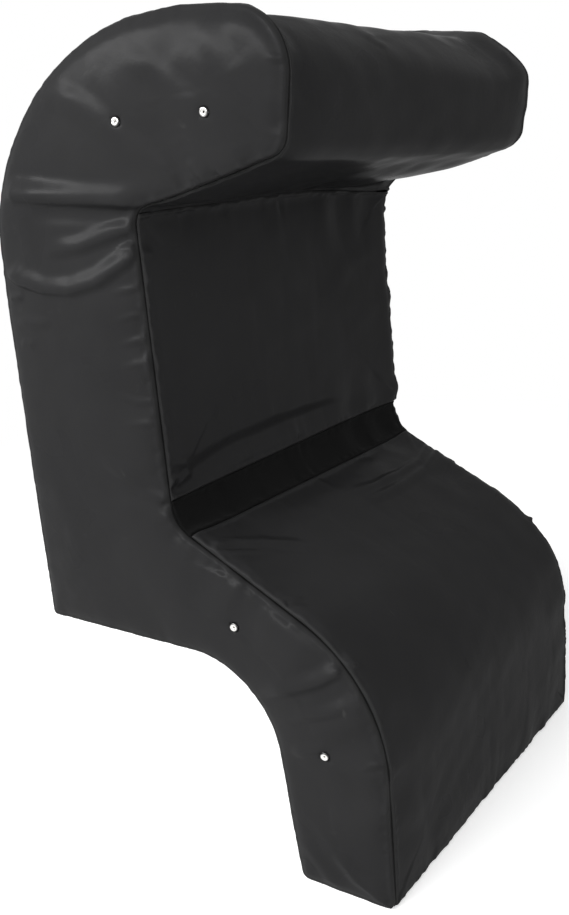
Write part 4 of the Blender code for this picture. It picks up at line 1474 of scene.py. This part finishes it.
def patch_mesh(low, high):
    """A patch with round corners, edges turned under and a stitched-down border."""
    size_x, size_z = high.x - low.x, high.z - low.z
    half_x, half_z = size_x / 2, size_z / 2
    bm = bmesh.new()
    bmesh.ops.create_grid(
        bm, x_segments=round(size_x / patch_pitch), y_segments=round(size_z / patch_pitch), size=0.5
    )
    middle = (low + high) / 2
    for vert in bm.verts:
        x, z = vert.co.x * size_x, vert.co.y * size_z
        over = Vector((abs(x) - half_x + patch_corner, abs(z) - half_z + patch_corner))
        square = max(over.x, over.y)
        edge_far = patch_corner - square
        if over.x > 0 and over.y > 0:
            over *= square / over.length
            x = math.copysign(half_x - patch_corner + over.x, x)
            z = math.copysign(half_z - patch_corner + over.y, z)
        edge = min(edge_far / patch_edge, 1)
        y = high.y - (high.y - low.y) * patch_wall_share * (1 - math.sqrt(max(1 - (1 - edge) ** 2, 0)))
        y -= patch_stitch_dip * float(peak(edge_far, patch_stitch_far, patch_stitch_width))
        y += patch_swell_height * noise.noise(Vector((x, z, low.x)) * patch_swells)
        vert.co = (middle.x + x, y, middle.z + z)
    bmesh.ops.recalc_face_normals(bm, faces=bm.faces)
    if sum(face.normal.y for face in bm.faces) < 0:
        bmesh.ops.reverse_faces(bm, faces=bm.faces)
    lay_out(bm)
    return bm


def add_patch(node, vinyl, thread):
    """A patch on the back, sewn down round its border."""
    low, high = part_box(node)
    patch = add_piece(f"sewn_{node}", patch_mesh(low, high), vinyl, "cover", [node])
    add_wall(patch, "wall", (high.y - low.y) * patch_wall_share, -1)
    border = patch_stitch_far
    lines = frame_lines(
        low.x + border, high.x - border, low.z + border, high.z - border,
        high.y - patch_stitch_dip * patch_stitch_sunk,
    )
    add_stitches(f"{node}_stitches", lines, back_way, thread, "cover")


def add_tab_stitches(handle, end, way, seat, thread):
    """The boxed cross that sews a strap's end down."""
    reach = webbing_width / 2 - tab_stitch_inset
    tab_start = grip_length / 2 + handle_ramp
    rows = (tab_stitch_inset, tab_length - tab_stitch_inset)
    low, high = sorted(seat.z + way * (tab_start + row) for row in rows)
    top = seat.y + webbing_thickness / 2
    lines = frame_lines(seat.x - reach, seat.x + reach, low, high, top)
    lines += [
        ((seat.x - reach, top, low), (seat.x + reach, top, high)),
        ((seat.x + reach, top, low), (seat.x - reach, top, high)),
    ]
    add_stitches(f"{handle}_{end}_tab_stitches", lines, back_way, thread, "cover")


def add_grip(handle, seat, centre, vinyl, thread):
    """A handle's padded grip and the two rows of stitches beside its seam."""
    bm = grip_sleeve()
    bmesh.ops.translate(bm, verts=bm.verts, vec=seat)
    grip = add_piece(f"padded_{handle}_grip", bm, vinyl, handle, [f"{handle}_grip"])
    y = centre.y - grip_depth / 2 + grip_stitch_height
    reach = grip_length / 2 - grip_stitch_inset
    for number, way in enumerate((-1, 1)):
        x = centre.x + way * grip_stitch_gap
        line = ((x, y, centre.z - reach), (x, y, centre.z + reach))
        add_stitches(f"{handle}_grip_stitches_{number}", [line], -back_way, thread, handle)


def add_handle(handle, vinyl, webbing, thread):
    """A carrying handle: two patches, webbing in two halves, the grip, and all its stitching."""
    low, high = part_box(f"{handle}_grip")
    centre = (low + high) / 2
    seat = Vector((centre.x, centre.y - handle_standoff, centre.z))
    for end, way in back_ends.items():
        bm = webbing_half(way)
        bmesh.ops.translate(bm, verts=bm.verts, vec=seat)
        sewn = [f"{handle}_{end}_tab", f"{handle}_strap"]
        strap = add_piece(f"{handle}_{end}_webbing", bm, webbing, None, sewn)
        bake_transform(strap)
        add_patch(f"{handle}_{end}_patch", vinyl, thread)
        add_tab_stitches(handle, end, way, seat, thread)
    add_grip(handle, seat, centre, vinyl, thread)


def feed(tree, node, inputs):
    """Links or sets a node's inputs, by name or number."""
    for key, value in inputs.items():
        if isinstance(value, bpy.types.NodeSocket):
            tree.links.new(value, node.inputs[key])
        else:
            node.inputs[key].default_value = value


def put(tree, kind, inputs, **settings):
    """A new node with its settings and its inputs."""
    node = tree.nodes.new(kind)
    for key, value in settings.items():
        setattr(node, key, value)
    feed(tree, node, inputs)
    return node


def new_group(name, outputs):
    """A shader group that reads a vector: its tree, that vector, and the node that takes its outputs."""
    tree = bpy.data.node_groups.new(name, "ShaderNodeTree")
    tree.interface.new_socket("Vector", in_out="INPUT", socket_type="NodeSocketVector")
    for label in outputs:
        tree.interface.new_socket(label, in_out="OUTPUT", socket_type="NodeSocketFloat")
    given = put(tree, "NodeGroupInput", {}).outputs["Vector"]
    return tree, given, put(tree, "NodeGroupOutput", {})


def calculate(tree, operation, *values):
    """A sum, product or other calculation on values."""
    return put(tree, "ShaderNodeMath", dict(enumerate(values)), operation=operation).outputs[0]


def vector_times(tree, vector, by):
    """A vector multiplied part by part."""
    return put(tree, "ShaderNodeVectorMath", {0: vector, 1: by}, operation="MULTIPLY").outputs[0]


def cloud(tree, place, scale, detail, roughness=0.5):
    """Soft uneven noise, as a value."""
    inputs = {"Vector": place, "Scale": scale, "Detail": detail, "Roughness": roughness}
    return put(tree, "ShaderNodeTexNoise", inputs).outputs["Fac"]


def cells(tree, place, scale, feature):
    """How far the middles of a cell pattern are, or the walls between its cells."""
    inputs = {"Vector": place, "Scale": scale}
    return put(tree, "ShaderNodeTexVoronoi", inputs, feature=feature).outputs["Distance"]


def stretched(tree, place, turn, scale):
    """Places turned and scaled, so that a pattern on them runs one way."""
    return put(tree, "ShaderNodeMapping", {"Vector": place, "Rotation": turn, "Scale": scale}).outputs[0]


def gate(tree, value, low, high):
    """0 below low, 1 above high, and an even way between."""
    return put(tree, "ShaderNodeMapRange", {"Value": value, "From Min": low, "From Max": high}).outputs[0]


def between(tree, share, low, high):
    """A value between low and high by a share."""
    return put(tree, "ShaderNodeMapRange", {"Value": share, "To Min": low, "To Max": high}).outputs[0]


def eased(tree, value, starts, ends):
    """A value that goes from one end to the other while another goes from its first to its last."""
    inputs = {"Value": value, "From Min": starts[0], "From Max": starts[1]}
    inputs |= {"To Min": ends[0], "To Max": ends[1]}
    return put(tree, "ShaderNodeMapRange", inputs).outputs[0]


def tint(tree, share, low, high):
    """A colour between two by a share."""
    ramp = put(tree, "ShaderNodeValToRGB", {0: share})
    ramp.color_ramp.elements[0].color = (*low, 1)
    ramp.color_ramp.elements[1].color = (*high, 1)
    return ramp.outputs[0]


def covered(tree, share, colour, cover):
    """A colour with another over it by a share."""
    inputs = {"Factor": share, 6: colour, 7: (*cover, 1)}
    return put(tree, "ShaderNodeMix", inputs, data_type="RGBA").outputs[2]


def object_places(tree):
    """Places on the piece."""
    return put(tree, "ShaderNodeTexCoord", {}).outputs["Object"]


def attribute(tree, name, output):
    """What the mesh says of itself under a name."""
    return put(tree, "ShaderNodeAttribute", {}, attribute_name=name).outputs[output]


def relief(tree, height, strength, distance, **below):
    """A normal for small heights on the surface."""
    inputs = {"Height": height, **below, "Strength": strength, "Distance": distance}
    return put(tree, "ShaderNodeBump", inputs).outputs[0]


def grain_group():
    """Embossed grain of coated vinyl: small pebbles, finer ones between them, and a little warp."""
    tree, place, result = new_group("vinyl_grain", ["Height"])
    warp = put(tree, "ShaderNodeTexNoise", {"Vector": place, "Scale": 260, "Detail": 2}).outputs["Color"]
    shift = vector_times(tree, warp, (grain_warp,) * 3)
    moved = put(tree, "ShaderNodeVectorMath", {0: place, 1: shift}, operation="ADD").outputs[0]
    coarse = calculate(tree, "POWER", cells(tree, moved, scale=900, feature="SMOOTH_F1"), 2)
    fine = cells(tree, moved, scale=2300, feature="F1")
    fine = calculate(tree, "MULTIPLY", fine, fine_pebble_share)
    total = calculate(tree, "ADD", coarse, fine)
    feed(tree, result, {"Height": calculate(tree, "SUBTRACT", 1, total)})
    return tree


def marks_group():
    """Soft blotches, hairline scuffs and rubbed patches from use."""
    tree, place, result = new_group("wear_marks", ["Blotches", "Scuffs", "Rubbed"])
    along = stretched(tree, place, turn=(0.3, 0.5, 0.7), scale=(240, 16, 30))
    hair = cloud(tree, along, scale=1, detail=3, roughness=0.6)
    hair = gate(tree, hair, low=0.66, high=0.74)
    where = gate(tree, cloud(tree, place, scale=14, detail=1), low=0.55, high=0.7)
    rub = cloud(tree, place, scale=38, detail=5, roughness=0.6)
    feed(tree, result, {
        "Blotches": cloud(tree, place, scale=5, detail=3, roughness=0.55),
        "Scuffs": calculate(tree, "MULTIPLY", hair, where),
        "Rubbed": calculate(tree, "MULTIPLY", rub, where),
    })
    return tree


def weave_group():
    """Threads of two ways, along the vector's first two parts, that rise in every second square."""
    tree, given, result = new_group("weave", ["Height", "Thread"])
    parts = put(tree, "ShaderNodeSeparateXYZ", {0: given}).outputs
    lifts = []
    for across, along in ((parts[0], parts[1]), (parts[1], parts[0])):
        turn = calculate(tree, "SINE", calculate(tree, "MULTIPLY", across, math.pi))
        ridge = calculate(tree, "ABSOLUTE", turn)
        row = calculate(tree, "MULTIPLY", calculate(tree, "FLOOR", across), math.pi)
        phase = calculate(tree, "ADD", calculate(tree, "MULTIPLY", along, math.pi), row)
        lift = calculate(tree, "MULTIPLY_ADD", calculate(tree, "SINE", phase), 0.5, 0.5)
        lifts.append(calculate(tree, "MULTIPLY", ridge, lift))
    height = calculate(tree, "MAXIMUM", *lifts)
    feed(tree, result, {"Height": height, "Thread": cloud(tree, given, scale=3, detail=2)})
    return tree


def new_material(name, roughness, specular, metallic=0):
    """A material whose even values are set on its shader. It comes with its tree and its shader."""
    mat = bpy.data.materials.new(name)
    mat.use_nodes = True
    tree = mat.node_tree
    shader = tree.nodes["Principled BSDF"]
    feed(tree, shader, {"Roughness": roughness, "Specular IOR Level": specular, "Metallic": metallic})
    return mat, tree, shader


def shared(tree, group, vector):
    """What a shared effect gives in a material."""
    node = put(tree, "ShaderNodeGroup", {}, node_tree=group)
    feed(tree, node, {"Vector": vector})
    return node.outputs


def vinyl_material(grain, marks, weave):
    """Black vinyl on a woven base: satin, finely grained, a little rubbed and dusty at its seams."""
    mat, tree, shader = new_material("black_vinyl", vinyl_roughness, vinyl_specular)
    place = object_places(tree)
    wear = shared(tree, marks, place)
    near = eased(tree, attribute(tree, "seam_far", "Fac"), seam_dust_reach, (seam_dust, 0))
    dust = calculate(tree, "MULTIPLY", near, wear["Blotches"])
    dust = calculate(tree, "MAXIMUM", dust, calculate(tree, "MULTIPLY", wear["Scuffs"], scuff_dust))
    clean = tint(tree, wear["Blotches"], vinyl_dark, vinyl_light)
    rough = (vinyl_roughness - vinyl_smoother, vinyl_roughness + vinyl_rougher)
    rough = between(tree, wear["Blotches"], *rough)
    rough = calculate(tree, "ADD", rough, calculate(tree, "MULTIPLY", wear["Rubbed"], vinyl_rubbed))
    turned_away = put(tree, "ShaderNodeLayerWeight", {"Blend": 0.5}).outputs["Facing"]
    turning = (vinyl_turn_start, vinyl_turn_full)
    gloss = eased(tree, turned_away, turning, (vinyl_specular, vinyl_specular * vinyl_edge_gloss))
    threads = vector_times(tree, attribute(tree, "sheet", "Vector"), (1 / base_thread,) * 3)
    base = shared(tree, weave, threads)["Height"]
    pebbles = shared(tree, grain, place)["Height"]
    height = calculate(tree, "MULTIPLY_ADD", base, base_weave_share, pebbles)
    slack = cloud(tree, place, scale=70, detail=4, roughness=0.6)
    slack = relief(tree, slack, strength=0.25, distance=0.0012)
    feed(tree, shader, {
        "Base Color": covered(tree, dust, clean, vinyl_dust),
        "Roughness": rough,
        "Specular IOR Level": gloss,
        "Normal": relief(tree, height, strength=0.35, distance=0.00008, Normal=slack),
    })
    return mat


def woven_material(name, weave, marks, threads, roughness):
    """Woven tape or webbing: dull threads with a little fluff."""
    mat, tree, shader = new_material(name, roughness, woven_specular)
    cloth = shared(tree, weave, vector_times(tree, attribute(tree, "sheet", "Vector"), threads))
    wear = shared(tree, marks, object_places(tree))
    fluff = calculate(tree, "ADD", cloth["Thread"], wear["Blotches"])
    share = calculate(tree, "MULTIPLY", cloth["Height"], fluff)
    rough = (roughness - fluff_roughness, roughness + fluff_roughness)
    feed(tree, shader, {
        "Base Color": tint(tree, share, tape_dark, tape_light),
        "Roughness": between(tree, cloth["Thread"], *rough),
        "Sheen Weight": woven_sheen,
        "Normal": relief(tree, cloth["Height"], strength=0.7, distance=0.0003),
    })
    return mat


def nickel_material():
    """Bright plated metal with fine scratches and finger marks, and painted shade with grime darkening the
    eyelets' flange rims.
    """
    mat, tree, shader = new_material("nickel", roughness=0.2, specular=0.5, metallic=1)
    place = object_places(tree)
    along = stretched(tree, place, turn=(0.4, 0.2, 0.9), scale=(4000, 300, 500))
    lines = cloud(tree, along, scale=1, detail=2)
    fingers = cloud(tree, place, scale=420, detail=3)
    clean = tint(tree, fingers, *nickel_colours)
    # Painted shade and grime: the flange darkens towards its rim, read from the ring's radius
    flange_shade_and_grime = gate(tree, attribute(tree, "ring_far", "Fac"), flange_shade_and_grime_start, flange_shade_and_grime_full)
    feed(tree, shader, {
        "Base Color": covered(tree, flange_shade_and_grime, clean, flange_shade_and_grime_colour),
        "Roughness": between(tree, calculate(tree, "MULTIPLY", lines, fingers), low=0.14, high=0.42),
        "Normal": relief(tree, lines, strength=0.15, distance=0.00003),
    })
    return mat


def plastic_material(marks):
    """Moulded zip teeth: black, slightly glossy, with a fine mould texture."""
    mat, tree, shader = new_material("zip_plastic", roughness=0.35, specular=0.25)
    place = object_places(tree)
    speck = cloud(tree, place, scale=1500, detail=3)
    feed(tree, shader, {
        "Base Color": tint(tree, shared(tree, marks, place)["Rubbed"], *plastic_colours),
        "Roughness": between(tree, speck, low=0.25, high=0.5),
        "Normal": relief(tree, speck, strength=0.2, distance=0.00005),
    })
    return mat


def thread_material(marks):
    """Black sewing thread, twisted from strands."""
    mat, tree, shader = new_material("thread", roughness=0.55, specular=0.15)
    place = object_places(tree)
    strands = {"Vector": place, "Scale": 900, "Distortion": 1}
    twist = put(tree, "ShaderNodeTexWave", strands, bands_direction="DIAGONAL").outputs["Fac"]
    feed(tree, shader, {
        "Base Color": tint(tree, shared(tree, marks, place)["Blotches"], *thread_colours),
        "Roughness": between(tree, twist, low=0.45, high=0.65),
        "Normal": relief(tree, twist, strength=0.6, distance=0.0001),
    })
    return mat


def foam_material():
    """Dark grey open foam: cells with thin walls."""
    mat, tree, shader = new_material("foam", roughness=0.9, specular=0.2)
    walls = cells(tree, object_places(tree), scale=700, feature="DISTANCE_TO_EDGE")
    feed(tree, shader, {
        "Base Color": tint(tree, walls, *foam_colours),
        "Roughness": between(tree, walls, low=0.8, high=1),
        "Normal": relief(tree, walls, strength=0.8, distance=0.0006),
    })
    return mat


def add_camera():
    """The camera, where the photograph was taken."""
    camera = new_object("camera", bpy.data.cameras.new("camera"))
    camera.data.lens = lens_mm
    camera.data.sensor_width = sensor_mm
    basis = Matrix((camera_right, camera_up, -camera_aim)).transposed()
    camera.matrix_world = Matrix.Translation(camera_place) @ basis.to_4x4()
    bpy.context.scene.camera = camera


def add_lamp(name, place, aim, size, spread, power):
    """A soft box of light that faces a place."""
    light = bpy.data.lights.new(name, "AREA")
    light.shape = "RECTANGLE"
    light.size, light.size_y = size
    light.spread = math.radians(spread)
    light.energy = power
    lamp = new_object(name, light)
    lamp.location = place
    lamp.rotation_euler = (Vector(aim) - Vector(place)).to_track_quat("-Z", "Y").to_euler()


def seen_rays(tree):
    """1 for rays that the camera, a gloss or a glass sends, and 0 for the rays that light a surface."""
    path = put(tree, "ShaderNodeLightPath", {}).outputs
    total = path["Is Camera Ray"]
    for name in ("Is Glossy Ray", "Is Transmission Ray"):
        total = calculate(tree, "MAXIMUM", total, path[name])
    return total


def add_floor():
    """A pale floor that runs out into the white of the background."""
    bpy.ops.mesh.primitive_plane_add(size=floor_size)
    floor = bpy.context.object
    floor.name = "floor"
    mat, tree, shader = new_material("floor", roughness=1, specular=0)
    away = put(tree, "ShaderNodeVectorMath", {0: object_places(tree)}, operation="LENGTH").outputs["Value"]
    reach = gate(tree, away, floor_near, floor_far)
    glow = calculate(tree, "MULTIPLY", seen_rays(tree), between(tree, reach, floor_glow, 1))
    feed(tree, shader, {
        "Base Color": tint(tree, reach, floor_colour, black),
        "Emission Color": (*white, 1),
        "Emission Strength": glow,
    })
    floor.data.materials.append(mat)


def add_sky():
    """A white background that lights the object less than it shows."""
    world = bpy.context.scene.world or bpy.data.worlds.new("world")
    bpy.context.scene.world = world
    world.use_nodes = True
    tree = world.node_tree
    strength = between(tree, seen_rays(tree), sky_light, 1)
    feed(tree, tree.nodes["Background"], {"Color": (*white, 1), "Strength": strength})


add_camera()
add_floor()
add_sky()
for name, lamp in lamps.items():
    add_lamp(name, *lamp)
bpy.context.scene.view_settings.view_transform = "Standard"
marks = marks_group()
weave = weave_group()
vinyl = vinyl_material(grain_group(), marks, weave)
tape = woven_material("matte_tape", weave, marks, tape_threads, tape_roughness)
webbing = woven_material("webbing", weave, marks, webbing_threads, webbing_roughness)
metal = nickel_material()
plastic = plastic_material(marks)
thread = thread_material(marks)
foam = foam_material()
for name in ("head_roll_core", "column_core", "leg_core"):
    add_foam(name, foam)
for skin in skins.values():
    finish_skin(skin, tape if skin.name == "crease_band" else vinyl)
add_eyelets(metal)
add_zip(tape, plastic, metal, thread)
for handle in handles:
    add_handle(handle, vinyl, webbing, thread)
